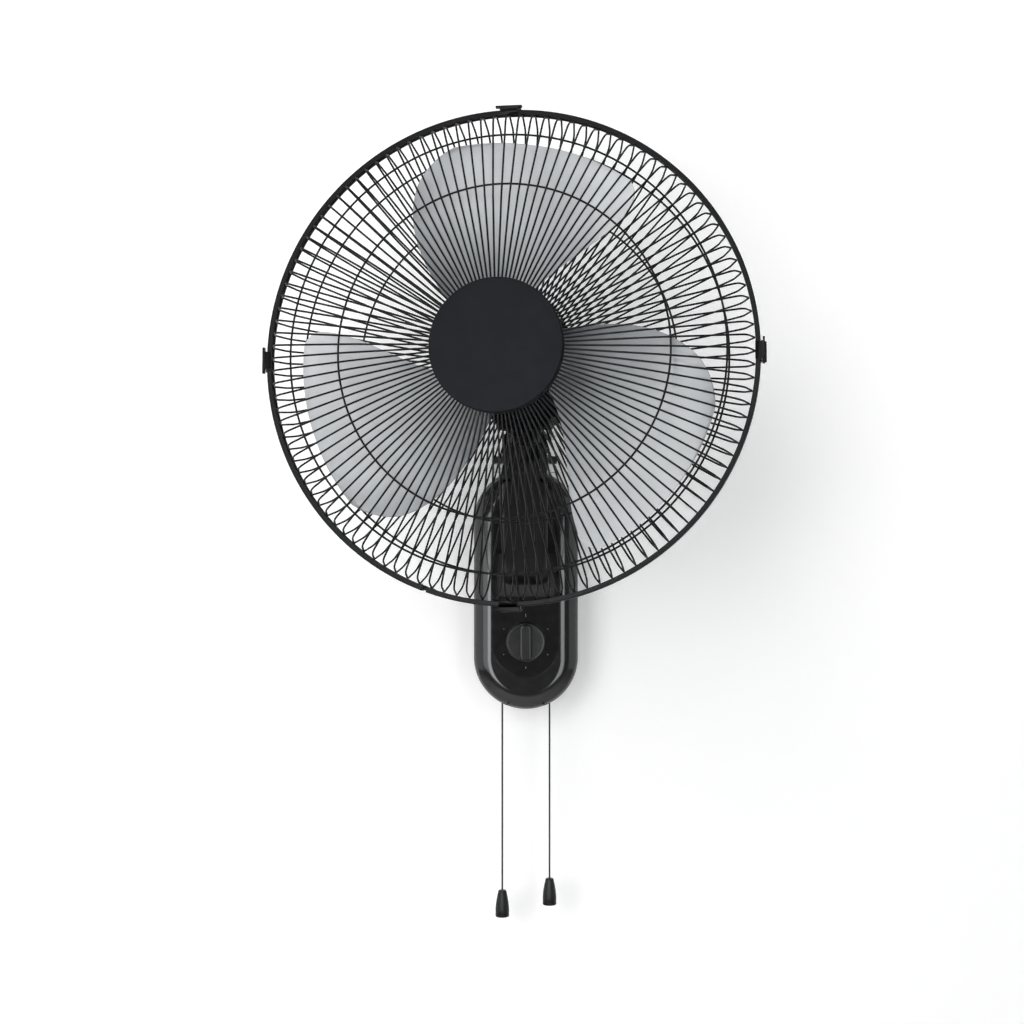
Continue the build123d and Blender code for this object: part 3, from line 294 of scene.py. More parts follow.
def bevel(offset, segments=4, **more):
    """Round the selected edges."""
    bpy.ops.mesh.bevel(offset=offset, segments=segments, affect="EDGES", **more)


def round_uprights(piece, radius, segments=8):
    """In edit mode, round the edges that run along z."""
    bpy.ops.mesh.select_mode(type="EDGE")
    bpy.ops.mesh.select_all(action="DESELECT")
    mesh = bmesh.from_edit_mesh(piece.data)
    for edge in mesh.edges:
        edge.select = abs(edge.verts[0].co.z - edge.verts[1].co.z) > 1e-5
    mesh.select_flush_mode()
    bmesh.update_edit_mesh(piece.data)
    bevel(radius, segments)


def tidy():
    """Merge doubles and turn the faces outward."""
    bpy.ops.mesh.select_all(action="SELECT")
    bpy.ops.mesh.remove_doubles(threshold=1e-6)
    bpy.ops.mesh.normals_make_consistent(inside=False)


def outlined(name, points):
    """Start a piece as one vertex and draw it out to a line of edges through points."""
    settle()
    bpy.ops.mesh.primitive_plane_add(size=0.001)
    piece = named(name)
    bpy.ops.mesh.merge(type="CENTER")
    move(*points[0])
    for here, there in zip(points, points[1:]):
        pull(*(Vector(there) - Vector(here)))
    bpy.ops.mesh.select_all(action="SELECT")
    return piece


def lathe(name, outline, steps=96):
    """Turn an outline of (radius, z) points about z."""
    piece = outlined(name, [(r, 0, z) for r, z in outline])
    bpy.ops.mesh.spin(steps=steps, angle=TURN, center=(0, 0, 0), axis=(0, 0, 1))
    tidy()
    return piece


def arc(centre_r, centre_z, radius, start, end, steps):
    """Points of an arc in an outline, angles in degrees from the radial direction."""
    turns = [radians(start + (end - start) * i / steps) for i in range(steps + 1)]
    return [(centre_r + radius * cos(t), centre_z + radius * sin(t)) for t in turns]


def stadium(name, width, height, low, steps=96):
    """An upright stadium face at z = low: a disc whose halves are drawn apart."""
    settle()
    bpy.ops.mesh.primitive_circle_add(vertices=steps, radius=width / 2, fill_type="NGON",
                                      rotation=(0, 0, pi / steps), location=(0, 0, low))
    bpy.ops.object.transform_apply()
    piece = named(name)
    for side in (1, -1):
        pick("VERT", lambda co: co.y * side > 0)
        move(0, side * (height - width) / 2, 0)
    bpy.ops.mesh.select_all(action="SELECT")
    return piece


def brick(name, low, high):
    """A box between two corners."""
    settle()
    centre = [(a + b) / 2 for a, b in zip(low, high)]
    size = [b - a for a, b in zip(low, high)]
    bpy.ops.mesh.primitive_cube_add(size=1, location=centre, scale=size)
    bpy.ops.object.transform_apply()
    return named(name)


def rod(name, radius, low, high, direction="Z", steps=48, centre=(0, 0, 0)):
    """A capped cylinder along one axis from low to high."""
    settle()
    turn = {"X": (0, pi / 2, 0), "Y": (-pi / 2, 0, 0), "Z": (0, 0, 0)}[direction]
    along = Vector({"X": (1, 0, 0), "Y": (0, 1, 0), "Z": (0, 0, 1)}[direction])
    bpy.ops.mesh.primitive_cylinder_add(vertices=steps, radius=radius, depth=high - low, rotation=turn,
                                        location=Vector(centre) + along * (low + high) / 2)
    bpy.ops.object.transform_apply()
    return named(name)


def change(piece, kind, **settings):
    """Add a modifier with its settings and apply it."""
    take(piece)
    modifier = piece.modifiers.new(kind.title(), kind)
    for key, value in settings.items():
        setattr(modifier, key, value)
    bpy.ops.object.modifier_apply(modifier=modifier.name)


def combine(piece, operation, tools):
    """Put a piece and each tool in turn together by a boolean, and remove the tools."""
    for tool in tools:
        change(piece, "BOOLEAN", operation=operation, solver="EXACT", object=tool)
        bpy.data.objects.remove(tool)


def cut(piece, *tools):
    """Cut tools out of a piece."""
    combine(piece, "DIFFERENCE", tools)


def weld(piece, *parts):
    """Join solid parts on to a piece, under one skin."""
    combine(piece, "UNION", parts)


def gather(name, *parts):
    """Join several meshes into one piece as they are."""
    take(parts[0])
    for part in parts[1:]:
        part.select_set(True)
    bpy.ops.object.join()
    return label(parts[0], name)


def shift(piece, matrix):
    """Place a piece's mesh by a matrix, with its object left at the origin."""
    take(piece)
    piece.matrix_world = matrix
    bpy.context.view_layer.update()
    bpy.ops.object.transform_apply(location=True, rotation=True, scale=True)


def smooth(piece, limit=35):
    """Shade a piece smooth, with its sharp edges kept."""
    take(piece)
    bpy.ops.object.shade_smooth_by_angle(angle=radians(limit))


def soften(piece, width, segments=3, limit=35):
    """Round a piece's sharp edges and shade it smooth."""
    change(piece, "BEVEL", width=width, segments=segments, limit_method="ANGLE",
           angle_limit=radians(limit), harden_normals=False, use_clamp_overlap=True)
    smooth(piece)


def polish(piece, width, segments, limit):
    """Soften a piece whose gloss shows, with its shading evened by the size of its faces."""
    soften(piece, width, segments, limit)
    change(piece, "WEIGHTED_NORMAL", keep_sharp=True, weight=50)


def finish(piece, where, body, paint, node_name=None):
    """Place, paint and hang a finished piece, and hide the model node that it stands for.

    A piece joined from parts of different finishes keeps those, with paint None.
    """
    shift(piece, where)
    if paint:
        piece.data.materials.clear()
        piece.data.materials.append(paint)
    if node_name:
        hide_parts(node_name)
    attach(piece, body)


# ---------------------------------------------------------------- finishes
IOR, COAT, COAT_ROUGH, METAL = "Specular IOR Level", "Coat Weight", "Coat Roughness", "Metallic"

# Each finish: its colour in the panel, its roughness and how far that wanders, how far the colour wanders,
# bumps per metre, their height in millimetres, its other sockets, and a stretch where the grain has one
FINISHES = {
    # polished moulded plastic of the shells, with faint smudges
    "gloss_black": ("gloss", 0.12, 0.035, 0.10, 900, 0.004, {COAT: 0.55, COAT_ROUGH: 0.06, IOR: 0.5}),
    # the inset panel: polished, with a little more texture than the cover
    "panel_gloss": ("panel", 0.12, 0.04, 0.10, 2600, 0.006, {COAT: 0.25, COAT_ROUGH: 0.08, IOR: 0.3}),
    # the knob, smoother than the other satin pieces
    "knob_satin": ("satin", 0.23, 0.03, 0.06, 3200, 0.010, {IOR: 0.35}),
    # satin moulded plastic of the clips, the blade nut and the lid of the neck's wiring hatch
    "satin_black": ("satin", 0.36, 0.07, 0.14, 3000, 0.015, {IOR: 0.2}),
    # the pulls, nearly matte
    "pull_matte": ("satin", 0.34, 0.07, 0.14, 2600, 0.016, {IOR: 0.35}),
    # fine grained matte plastic of the centre disc
    "disc_matte": ("matte", 0.50, 0.06, 0.10, 2600, 0.030, {IOR: 0.1}),
    # grained plastic of the motor housing and the ring nut
    "housing_black": ("matte", 0.45, 0.08, 0.12, 1500, 0.050, {IOR: 0.12}),
    # black painted casting of the neck and the yoke, with a slight orange peel
    "satin_cast": ("satin", 0.33, 0.07, 0.12, 700, 0.030, {IOR: 0.2}),
    # charcoal powder coat of the guard's wires and its rim
    "wire_coat": ("wire", 0.36, 0.08, 0.14, 1600, 0.020, {IOR: 0.15}),
    # bright zinc plated steel with a brushed grain
    "zinc_plate": ("steel", 0.32, 0.10, 0.10, 2200, 0.008, {METAL: 1.0}, (1, 1, 0.15)),
    # raw die cast aluminium
    "die_cast": ("cast", 0.52, 0.10, 0.10, 600, 0.060, {METAL: 1.0}),
    # sintered bronze of the bearings
    "bronze_sinter": ("bronze", 0.42, 0.10, 0.18, 3200, 0.025, {METAL: 1.0}),
    # natural resin of the switches
    "moulded_resin": ("resin", 0.48, 0.06, 0.06, 1500, 0.020, {"Subsurface Weight": 0.05}),
    # rubber of the seal and the grommet
    "black_rubber": ("rubber", 0.62, 0.08, 0.12, 2400, 0.040),
    # light grey print round the knob
    "printed_mark": ("mark", 0.55, 0.05, 0.10, 4000, 0.004),
}


def feed(made, feeds):
    """Set a node's inputs, given by name or number, or link them where they are given a socket."""
    for key, value in feeds.items():
        if isinstance(value, bpy.types.NodeSocket):
            made.id_data.links.new(value, made.inputs[key])
        else:
            made.inputs[key].default_value = value


def node(tree, kind, feeds=None, **settings):
    """Add a shader node with its settings and its inputs."""
    made = tree.nodes.new("ShaderNode" + kind)
    for key, value in settings.items():
        setattr(made, key, value)
    feed(made, feeds or {})
    return made


def noise(tree, place, scale, detail, rough=0.55):
    """A noise pattern, scaled in features per metre."""
    return node(tree, "TexNoise", {"Vector": place, "Scale": scale, "Detail": detail,
                                   "Roughness": rough}).outputs["Fac"]


def spread(tree, value, low, high, start=0.3, end=0.7):
    """A value between start and end, spread between low and high."""
    return node(tree, "MapRange", {"Value": value, "From Min": start, "From Max": end,
                                   "To Min": low, "To Max": high}).outputs["Result"]


def tint(tree, share, first, second):
    """A colour between two by a share from 0 to 1."""
    return node(tree, "Mix", {0: share, 6: first, 7: second}, data_type="RGBA").outputs[2]


def ridges(tree, place, scale, distortion, strength, height, **pattern):
    """Lay the ridges of a wave pattern over a finish's own grain, their height in metres."""
    wave = node(tree, "TexWave", {"Vector": place, "Scale": scale, "Distortion": distortion}, **pattern)
    shader = tree.nodes["Principled BSDF"]
    bump = node(tree, "Bump", {"Strength": strength, "Distance": height, "Height": wave.outputs["Fac"],
                               "Normal": shader.inputs["Normal"].links[0].from_socket})
    feed(shader, {"Normal": bump.outputs["Normal"]})


def scaled(colour, factor):
    """A colour made lighter or darker."""
    return [min(1, channel * factor) for channel in colour[:3]] + [1]


def finish_of(name, colour, rough, vary, mottle, grain, depth, sockets=None, stretch=None):
    """A worn real-life finish: mottled colour, uneven gloss and a fine grain."""
    if name in bpy.data.materials:
        return bpy.data.materials[name]
    material = bpy.data.materials.new(name)
    material.use_nodes = True
    tree = material.node_tree
    place = node(tree, "TexCoord").outputs["Object"]
    if stretch:
        place = node(tree, "Mapping", {"Vector": place, "Scale": stretch}).outputs["Vector"]
    cloud = spread(tree, noise(tree, place, 28, 5), 0, 1)
    smudge = noise(tree, place, 95, 6, 0.65)
    bump = node(tree, "Bump", {"Strength": 0.5, "Distance": depth / 1000,
                               "Height": noise(tree, place, grain, 2, 0.5)})
    feed(tree.nodes["Principled BSDF"], {
        "Base Color": tint(tree, cloud, scaled(colour, 1 - mottle), scaled(colour, 1 + mottle)),
        "Roughness": spread(tree, smudge, max(0.02, rough - vary), rough + vary),
        "Normal": bump.outputs["Normal"],
        **(sockets or {})})
    return material


def finishes():
    """The colours set in the panel."""
    return bpy.context.scene.fan_finish


def coat(kind, name=None):
    """A finish from the table, as a material of its own where a name is given."""
    colour, *look = FINISHES[kind]
    return finish_of(name or kind, getattr(finishes(), colour), *look)


def object_place(tree):
    """The Object coordinates that a finish already reads."""
    return next(n for n in tree.nodes if n.bl_idname == "ShaderNodeTexCoord").outputs["Object"]


def lined(name, colour, rough, lines, depth, sockets, **pattern):
    """A metal finish with fine parallel lines across the fan axis or round it."""
    if name in bpy.data.materials:
        return bpy.data.materials[name]
    material = finish_of(name, colour, rough, 0.08, 0.12, 1500, 0.01, sockets)
    tree = material.node_tree
    place = node(tree, "Mapping", {"Vector": object_place(tree), "Rotation": HEAD.to_euler(),
                                   "Location": HEAD.translation}, vector_type="TEXTURE")
    ridges(tree, place.outputs["Vector"], lines, 0.4, 0.8, depth / 1000, **pattern)
    return material


def laminations():
    """Stacked electrical steel, one line per sheet."""
    return lined("laminations", scaled(finishes().steel, 0.6), 0.45, 320, 0.08, {METAL: 1.0},
                 wave_type="BANDS", bands_direction="Z")


def wound_copper():
    """Enamelled copper wire laid in turns."""
    return lined("wound_copper", finishes().copper, 0.28, 260, 0.20, {METAL: 0.8, COAT: 0.6},
                 wave_type="RINGS", rings_direction="Z")


def cord_braid():
    """Fine black braid of the pull cords, as crossing slanted ridges."""
    if "cord_braid" in bpy.data.materials:
        return bpy.data.materials["cord_braid"]
    material = finish_of("cord_braid", finishes().satin, 0.62, 0.06, 0.18, 5000, 0.02,
                         {"Sheen Weight": 0.25})
    tree = material.node_tree
    for slant in (38, -38):
        place = node(tree, "Mapping", {"Vector": object_place(tree), "Rotation": (0, radians(slant), 0)})
        ridges(tree, place.outputs["Vector"], 420, 0.0, 0.9, 0.00016, bands_direction="Z")
    return material


def smoke_plastic(name, alpha, colour):
    """Smoky translucent moulding with faint flow lines."""
    return finish_of(name, colour, 0.22, 0.06, 0.08, 420, 0.010,
                     {COAT: 0.3, COAT_ROUGH: 0.08, "Alpha": alpha})


def vane_plastic():
    """The vanes: milky smoke, darker toward the hub and along the front edge, part for the thicker moulding there
    and part as painted shade.
    """
    material = smoke_plastic("vane_smoke", finishes().density, finishes().smoke)
    tree = material.node_tree
    shader = tree.nodes["Principled BSDF"]
    parts = node(tree, "SeparateXYZ", {"Vector": node(tree, "UVMap", uv_map="UVMap").outputs["UV"]})
    # painted shade: the masks below darken the vanes toward the hub and along the front edge, part for thicker
    # plastic and part for shade
    root_thickness_and_shade = spread(tree, parts.outputs["X"], 0.55, 0.0, 0.0, 0.45)
    edge = spread(tree, parts.outputs["Y"], 0.0, 0.35, 0.72, 1.0)
    deep = node(tree, "Math", {0: root_thickness_and_shade, 1: edge}, use_clamp=True).outputs["Value"]
    light = shader.inputs["Base Color"].links[0].from_socket
    feed(shader, {"Base Color": tint(tree, deep, light, finishes().deep)})
    return material


CAD_FINISHES = {
    "steel": lambda: coat("zinc_plate"),
    "cast": lambda: coat("die_cast"),
    "bronze": lambda: coat("bronze_sinter"),
    "copper": wound_copper,
    "lamination": laminations,
    "resin": lambda: coat("moulded_resin"),
    "rubber": lambda: coat("black_rubber"),
    "rim": lambda: coat("wire_coat", "rim_coat"),
    "matte_black": lambda: coat("satin_black", "lid_satin"),
}


class FanCadFinishes(bpy.types.Operator):
    """Give the carried-over machine parts their finishes"""
    bl_idname = "material.fan_finishes"
    bl_label = "Machine part finishes"

    def execute(self, context):
        slots = {row["node"]: row["material_slot"] for row in frame["record"]["subparts"]}
        for name, piece in frame["nodes"].items():
            if piece.hide_render:
                continue
            paint = CAD_FINISHES[slots[name]]()
            piece.data.materials.clear()
            piece.data.materials.append(paint)
        return {"FINISHED"}


# ---------------------------------------------------------------- base
GAP = 0.00005           # between faces that rest on each other
SEAM = 0.0006           # gap round the panel, wide enough to be seen
PANEL_PROUD = 0.0002    # panel face in front of the cover's
PAST = 0.001            # how far a cutting tool runs past the face it opens
TRAY_FLOOR = 0.003
KNOB_GAP = 0.0006       # between the panel and the knob's skirt
LEDGE = 0.008           # width of the ledge that the panel rests on
# Angle and length of each mark: a bar above and below the knob, and four ticks
MARKS = ((90, 0.0030), (270, 0.0022), (150, 0.0012), (30, 0.0012), (210, 0.0012), (330, 0.0012))
# Screw holes of the rear tray, for the wall and for the cover: across and up from the middle, radius, depth
SCREW_HOLES = ((0.028, 0.070, 0.00275, TRAY_FLOOR + PAST), (0.043, 0.045, 0.0036, 0.0021))
INLET = 0.0065          # radius of the cable inlet in the lower edge
SLOT_LEAN = 37.5        # degrees that a cord's slot leans, to open through the cover's rounding


def corners(across, up):
    """Four places mirrored about the middle."""
    return [(sx * across, sy * up) for sx in (-1, 1) for sy in (-1, 1)]


def model_back_shell(s):
    """The rear tray with its screw holes and cable inlet."""
    tray = stadium("rear_shell", s.width, s.height, 0)
    pull(0, 0, s.seam)
    tidy()
    pick("FACE", lambda centre, normal: normal.z > 0.9)
    bpy.ops.mesh.inset(thickness=s.skin)
    move(0, 0, TRAY_FLOOR - s.seam)
    low = -s.height / 2
    tools = []
    for across, up, radius, deep in SCREW_HOLES:
        for x, y in corners(across, up):
            tools.append(rod("hole", radius, -PAST, deep, centre=(x, y, 0)))
    tools.append(rod("inlet", INLET, low - PAST, low + 0.008, "Y", centre=(0, 0, 0.012)))
    cut(tray, gather("tools", *tools))
    soften(tray, 0.0005, 2)
    return tray


def model_cover(s):
    """The glossy front shell, open for the panel, with its ledge and cord slots."""
    low = s.seam + GAP
    cover = stadium("cover_shell", s.width, s.height, low)
    pull(0, 0, s.depth - low)
    tidy()
    pick("EDGE", lambda co: co.z > s.depth - 1e-5)
    bevel(s.rounding, 16)
    pick("FACE", lambda centre, normal: normal.z < -0.9)
    bpy.ops.mesh.delete(type="FACE")
    settle()
    # press the round flatter than it is wide
    for vert in cover.data.vertices:
        below = s.depth - vert.co.z
        if below < s.rounding + 1e-5:
            vert.co.z = s.depth - below * s.flatness
    change(cover, "SOLIDIFY", thickness=s.skin, offset=-1, use_even_offset=True)
    recess = stadium("recess", s.panel_width + 2 * SEAM, s.panel_height + 2 * SEAM, s.depth - 0.004)
    pull(0, 0, 0.006)
    tidy()
    cut(cover, recess)
    cords = bpy.context.scene.fan_cord
    low = -s.height / 2 - PAST
    tools = []
    for side in (-1, 1):
        place = (side * cords.across, 0, cords.out)
        tools.append(rod("hole", 0.0022, low, -0.096, "Y", 32, place))
        slot = brick("slot", (-0.0011, low, 0), (0.0011, -0.103, 0.012))
        shift(slot, Matrix.Translation(place) @ Matrix.Rotation(radians(-side * SLOT_LEAN), 4, "Y"))
        tools.append(slot)
    cut(cover, *tools)
    polish(cover, 0.0007, 3, 40)
    front = s.depth + PANEL_PROUD - s.panel_skin - 0.0001
    ledge = stadium("ledge", s.panel_width + LEDGE, s.panel_height + LEDGE, front)
    bpy.ops.mesh.inset(thickness=LEDGE)
    bpy.ops.mesh.delete(type="FACE")
    change(ledge, "SOLIDIFY", thickness=0.003, offset=-1)
    return gather("cover_shell", cover, ledge)


def model_panel(s):
    """The inset panel, open where the neck and the knob's shaft pass."""
    neck = bpy.context.scene.fan_neck
    front = s.depth + PANEL_PROUD
    panel = stadium("inset_panel", s.panel_width, s.panel_height, front - s.panel_skin)
    pull(0, 0, s.panel_skin)
    tidy()
    mouth = brick("mouth", (-neck.width / 2 - 0.008, neck.rise - 0.0275, front - 0.006),
                  (neck.width / 2 + 0.008, neck.rise + 0.0165, front + 0.002))
    round_uprights(mouth, 0.006)
    cut(panel, mouth, rod("bush", 0.0052, 0.055, 0.066, centre=(0, -s.knob_drop, 0)))
    polish(panel, 0.0009, 4, 40)
    return panel


def model_marks(s):
    """Plain raised marks round the knob: ticks, and a bar above and below it."""
    front = s.depth + PANEL_PROUD
    tall = 0.00006
    parts = []
    low = s.knob_radius + 0.0051
    centre = Matrix.Translation((0, -s.knob_drop, 0))
    for turn, reach in MARKS:
        tick = brick("tick", (-0.00045, low, front - tall), (0.00045, low + reach, front + tall))
        shift(tick, centre @ Matrix.Rotation(radians(turn - 90), 4, "Z"))
        parts.append(tick)
    marks = gather("dial_marks", *parts)
    soften(marks, 0.00003, 1)
    return marks


def model_knob(s):
    """The knob: a round skirt and a bar grip with a pointer groove."""
    foot = s.depth + PANEL_PROUD + KNOB_GAP
    step = foot + 0.0052
    top = foot + s.knob_tall
    r = s.knob_radius
    skirt = lathe("control_knob", [(0, foot), (r - 0.0004, foot), (r, foot + 0.0004),
                                   *arc(r - 0.0015, foot + 0.0040, 0.0015, 0, 90, 5),
                                   (r - 0.0030, step), (0, step)])
    half = r - 0.002
    bar = brick("bar", (-s.grip_width / 2, -half, foot + 0.001), (s.grip_width / 2, half, top))
    round_uprights(bar, 0.0045)
    pick("FACE", lambda centre, normal: normal.z > 0.9)
    bpy.ops.transform.resize(value=(0.86, 0.96, 1))
    bpy.ops.mesh.inset(thickness=0.0012)
    move(0, 0, 0.0002)
    weld(skirt, bar)
    pointer = brick("pointer", (-0.0006, half * 0.45, top - 0.0006), (0.0006, half + 0.001, top + 0.001))
    cut(skirt, pointer)
    polish(skirt, 0.0007, 4, 40)
    shift(skirt, Matrix.Translation((0, -s.knob_drop, 0)))
    return skirt


class FanBase(bpy.types.Operator):
    """Model the base shells, panel, dial marks and knob"""
    bl_idname = "mesh.fan_base"
    bl_label = "Base and knob"

    def execute(self, context):
        s = context.scene.fan_base
        for make, body, slot, paint, node_name in (
                (model_back_shell, "wall_base", "gloss_shell", ("gloss_black", "shell_gloss"), "back_shell"),
                (model_cover, "wall_base", "gloss_shell", ("gloss_black", "cover_gloss"), "base_cover"),
                (model_panel, "wall_base", "panel", ("panel_gloss",), "control_panel"),
                (model_marks, "wall_base", "panel", ("printed_mark",), None),
                (model_knob, "knob", "knob", ("knob_satin",), "speed_knob")):
            finish(make(s), WALL, body, coat(*paint), node_name)
        return {"FINISHED"}


# ---------------------------------------------------------------- pull cords
CORD_START = 0.028      # inside the cover, above the edge that the cord leaves


def bell_outline(s):
    """Outline of a pull from its top hole, at z = 0, down to its foot, with fine grooves above the foot."""
    edge = 0.0005
    hollow = 0.0008
    points = [(0.0012, 0), (s.pull_top - edge, 0)]
    for i in range(13):
        share = i / 12
        swell = sin(pi / 2 * share)
        points.append((s.pull_top + (s.pull_foot - s.pull_top) * swell, -edge - 0.76 * s.pull * share))
    deep = s.pull_foot - 0.00025
    for i in range(4):
        height = -s.pull * (0.80 + 0.035 * i)
        points += [(s.pull_foot, height), (deep, height - 0.0002), (deep, height - 0.0005),
                   (s.pull_foot, height - 0.0007)]
    return points + [(s.pull_foot, edge - s.pull), (s.pull_foot - edge, -s.pull), (0.0030, -s.pull),
                     (0.0026, hollow - s.pull), (0, hollow - s.pull)]


def model_cord(s, name, side, drop):
    """One cord as a smooth curve from inside the cover wall to its pull."""
    heights = [CORD_START, 0.012, -0.004, -0.05, -0.10, -0.14, -drop - 0.0004]
    settle()
    bpy.ops.curve.primitive_nurbs_path_add()
    cord = label(bpy.context.object, name)
    cord.data.splines.clear()
    spline = cord.data.splines.new("NURBS")
    spline.points.add(len(heights) - 1)
    for point, height in zip(spline.points, heights):
        point.co = (side * s.across, -s.out, cord_exit(s) + height, 1)
    spline.order_u = 3
    spline.use_endpoint_u = True
    cord.data.bevel_depth = s.wire / 2
    cord.data.bevel_resolution = 3
    cord.data.resolution_u = 12
    cord.data.use_fill_caps = True
    cord.data.twist_mode = "Z_UP"
    cord.data.materials.append(cord_braid())
    return cord, heights[0] - heights[-1]


def cord_exit(s):
    """Height of the base's lower edge where a cord leaves it."""
    base = bpy.context.scene.fan_base
    half = base.width / 2
    return -base.height / 2 + half - sqrt(half * half - s.across * s.across)


class FanCords(bpy.types.Operator):
    """Model the two pull cords and their pulls"""
    bl_idname = "mesh.fan_cords"
    bl_label = "Pull cords"

    def execute(self, context):
        s = context.scene.fan_cord
        for name, side, drop in (("left", -1, s.left), ("right", 1, s.right)):
            body = name + "_pull"
            leave = Vector((side * s.across, -s.out, cord_exit(s)))
            bell = lathe(name + "_pull_bell", bell_outline(s), 64)
            smooth(bell, 30)
            spot = Matrix.Translation(leave - Vector((0, 0, drop)))
            finish(bell, spot, body, coat("pull_matte"), name + "_bell")
            cord, long = model_cord(s, name + "_pull_cord", side, drop)
            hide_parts(name + "_cord")
            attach(cord, body)
        return {"FINISHED"}


# ---------------------------------------------------------------- neck
ARM_FOOT = 0.0061       # where the arm starts inside the base
SIDE_PLAY = 0.0003      # between the hinge ear and a yoke cheek
CHEEK_ROOM = 0.0035     # cut round the ear for the yoke's cheeks to turn in


def model_arm(s):
    """The bent neck: a rounded bar run out, spun up and drawn on to the hinge ear."""
    hinge_up, hinge_out = HINGE.z, -HINGE.y
    slope = atan2(hinge_up - s.rise, hinge_out - s.reach)
    tangent = s.bend * sin(slope / 2) / cos(slope / 2)
    turn_at = s.reach - tangent
    bar = brick("neck_arm", (-s.width / 2, s.rise - s.thick / 2, ARM_FOOT),
                (s.width / 2, s.rise + s.thick / 2, turn_at))
    round_uprights(bar, s.corner)
    pick("FACE", lambda centre, normal: normal.z > 0.9)
    bpy.ops.mesh.spin(steps=14, angle=slope, center=(0, s.rise + s.bend, turn_at), axis=(1, 0, 0))
    run = sqrt((hinge_up - s.rise) ** 2 + (hinge_out - s.reach) ** 2) - tangent
    for share in (0.35, 0.65):
        pull(0, run * share * sin(slope), run * share * cos(slope))
    tidy()
    hinge = (0, hinge_up, hinge_out)
    half = s.ear_width / 2
    room = [rod("room", s.ear + CHEEK_ROOM, low, low + 0.03, "X", 64, hinge) for low in (half, -half - 0.03)]
    cut(bar, gather("rooms", *room))
    weld(bar, rod("ear", s.ear, -half, half, "X", 64, hinge))
    polish(bar, 0.0009, 3, 32)
    return bar


def model_yoke(s):
    """Two cheeks on the hinge and the bridge that carries the swing post."""
    inner = s.ear_width / 2 + SIDE_PLAY
    outer = inner + s.cheek
    top = s.bridge_top
    reach = s.swing_forward
    outline = [(0.012, -0.012), (top, reach - 0.021), (top, reach), (top - 0.010, reach), (-0.0096, 0.014)]
    parts = []
    for side in (1, -1):
        cheek = outlined("cheek", [(side * inner, y, z) for y, z in outline])
        bpy.ops.mesh.edge_face_add()
        pull(side * s.cheek, 0, 0)
        tidy()
        low, high = sorted((side * inner, side * outer))
        weld(cheek, rod("round", s.ear + 0.001, low, high, "X", 64))
        parts.append(cheek)
    yoke = parts[0]
    bridge = brick("bridge", (-outer, top - s.bridge, reach - 0.017), (outer, top, reach))
    nose = rod("nose", 0.0172, top - s.bridge, top, "Y", 64, (0, 0, reach))
    apron = brick("apron", (-inner - 0.001, 0.004, s.ear + 0.0015),
                  (inner + 0.001, top - 0.004, s.ear + 0.0045))
    weld(yoke, parts[1], bridge, nose, apron)
    lip = rod("lip", 0.0171, top - 0.001, top + 0.0041, "Y", 64, (0, 0, reach))
    cut(lip, rod("well", 0.0150, top - 0.002, top + 0.006, "Y", 64, (0, 0, reach)),
        brick("behind", (-0.02, top - 0.003, reach - 0.02), (0.02, top + 0.006, reach + 0.0063)))
    weld(yoke, lip)
    polish(yoke, 0.0012, 3, 32)
    peg = rod("peg", 0.0025, top - 0.002, top + 0.0042, "Y", 32, (0.015, 0, reach))
    smooth(peg)
    return gather("hinge_yoke", yoke, peg)


class FanNeck(bpy.types.Operator):
    """Model the bent neck and the yoke of its tilt hinge"""
    bl_idname = "mesh.fan_neck"
    bl_label = "Neck and yoke"

    def execute(self, context):
        s = context.scene.fan_neck
        finish(model_arm(s), WALL, "wall_base", coat("satin_cast", "neck_coat"), "arm")
        finish(model_yoke(s), NECK, "neck", coat("satin_cast", "yoke_coat"), "tilt_yoke")
        return {"FINISHED"}


# ---------------------------------------------------------------- motor housing
THREAD_TURNS = 7
THREAD_PITCH = 0.0013


def ring_of(part, steps, start=0.0):
    """Copies of a part spaced evenly about z, joined into one mesh."""
    shift(part, Matrix.Rotation(start, 4, "Z"))
    bpy.ops.object.mode_set(mode="EDIT")
    bpy.ops.mesh.select_all(action="SELECT")
    bpy.ops.mesh.spin(steps=steps - 1, angle=TURN * (steps - 1) / steps, dupli=True, center=(0, 0, 0),
                      axis=(0, 0, 1))
    settle()
    return part


def places_round(steps, radius, start):
    """Places spaced evenly about z, from an angle on."""
    return [Matrix.Rotation(start + TURN / steps * i, 3, "Z") @ Vector((radius, 0, 0)) for i in range(steps)]


def model_front_cover(s):
    """Front of the housing with its raised step and the threaded collar."""
    wall = s.radius - s.skin
    thread = []
    for i in range(THREAD_TURNS):
        z = s.face + 0.0022 + i * THREAD_PITCH
        thread += [(s.collar, z), (s.collar - 0.0006, z + THREAD_PITCH / 2)]
    cover = lathe("motor_front", [
        (s.radius, -s.seam), (s.radius, -s.seam + 0.0004), (s.radius, s.face - 0.005),
        *arc(s.radius - 0.005, s.face - 0.005, 0.005, 0, 90, 7),
        (s.radius - 0.010, s.face), (s.radius - 0.0106, s.face - 0.0006),
        (s.radius - 0.0120, s.face - 0.0006), (s.radius - 0.0126, s.face),
        (s.collar + 0.0012, s.face), (s.collar, s.face + 0.0012),
        *thread, (s.collar - 0.0008, s.face + 0.012), (0.0165, s.face + 0.012), (0.016, s.face + 0.0115),
        (0.016, s.face - 0.003), (wall - 0.003, s.face - 0.003), (wall, s.face - 0.006), (wall, -s.seam),
        (s.radius, -s.seam)], 128)
    chin = brick("chin", (-0.025, -0.0575, -s.seam), (0.025, 0, s.face - 0.001))
    round_uprights(chin, 0.002, 4)
    cut(chin, rod("inside", s.radius - 0.001, -s.seam - PAST, s.face, steps=128))
    weld(cover, chin)
    tools = [rod("boss", 0.0111, -0.062, -0.040, "Y", 64)]
    for spot in places_round(3, 0.030, radians(90)):
        tools.append(rod("sink", 0.0034, s.face - 0.0019, s.face + 0.004, centre=spot))
    cut(cover, gather("tools", *tools))
    smooth(cover, 30)
    return cover


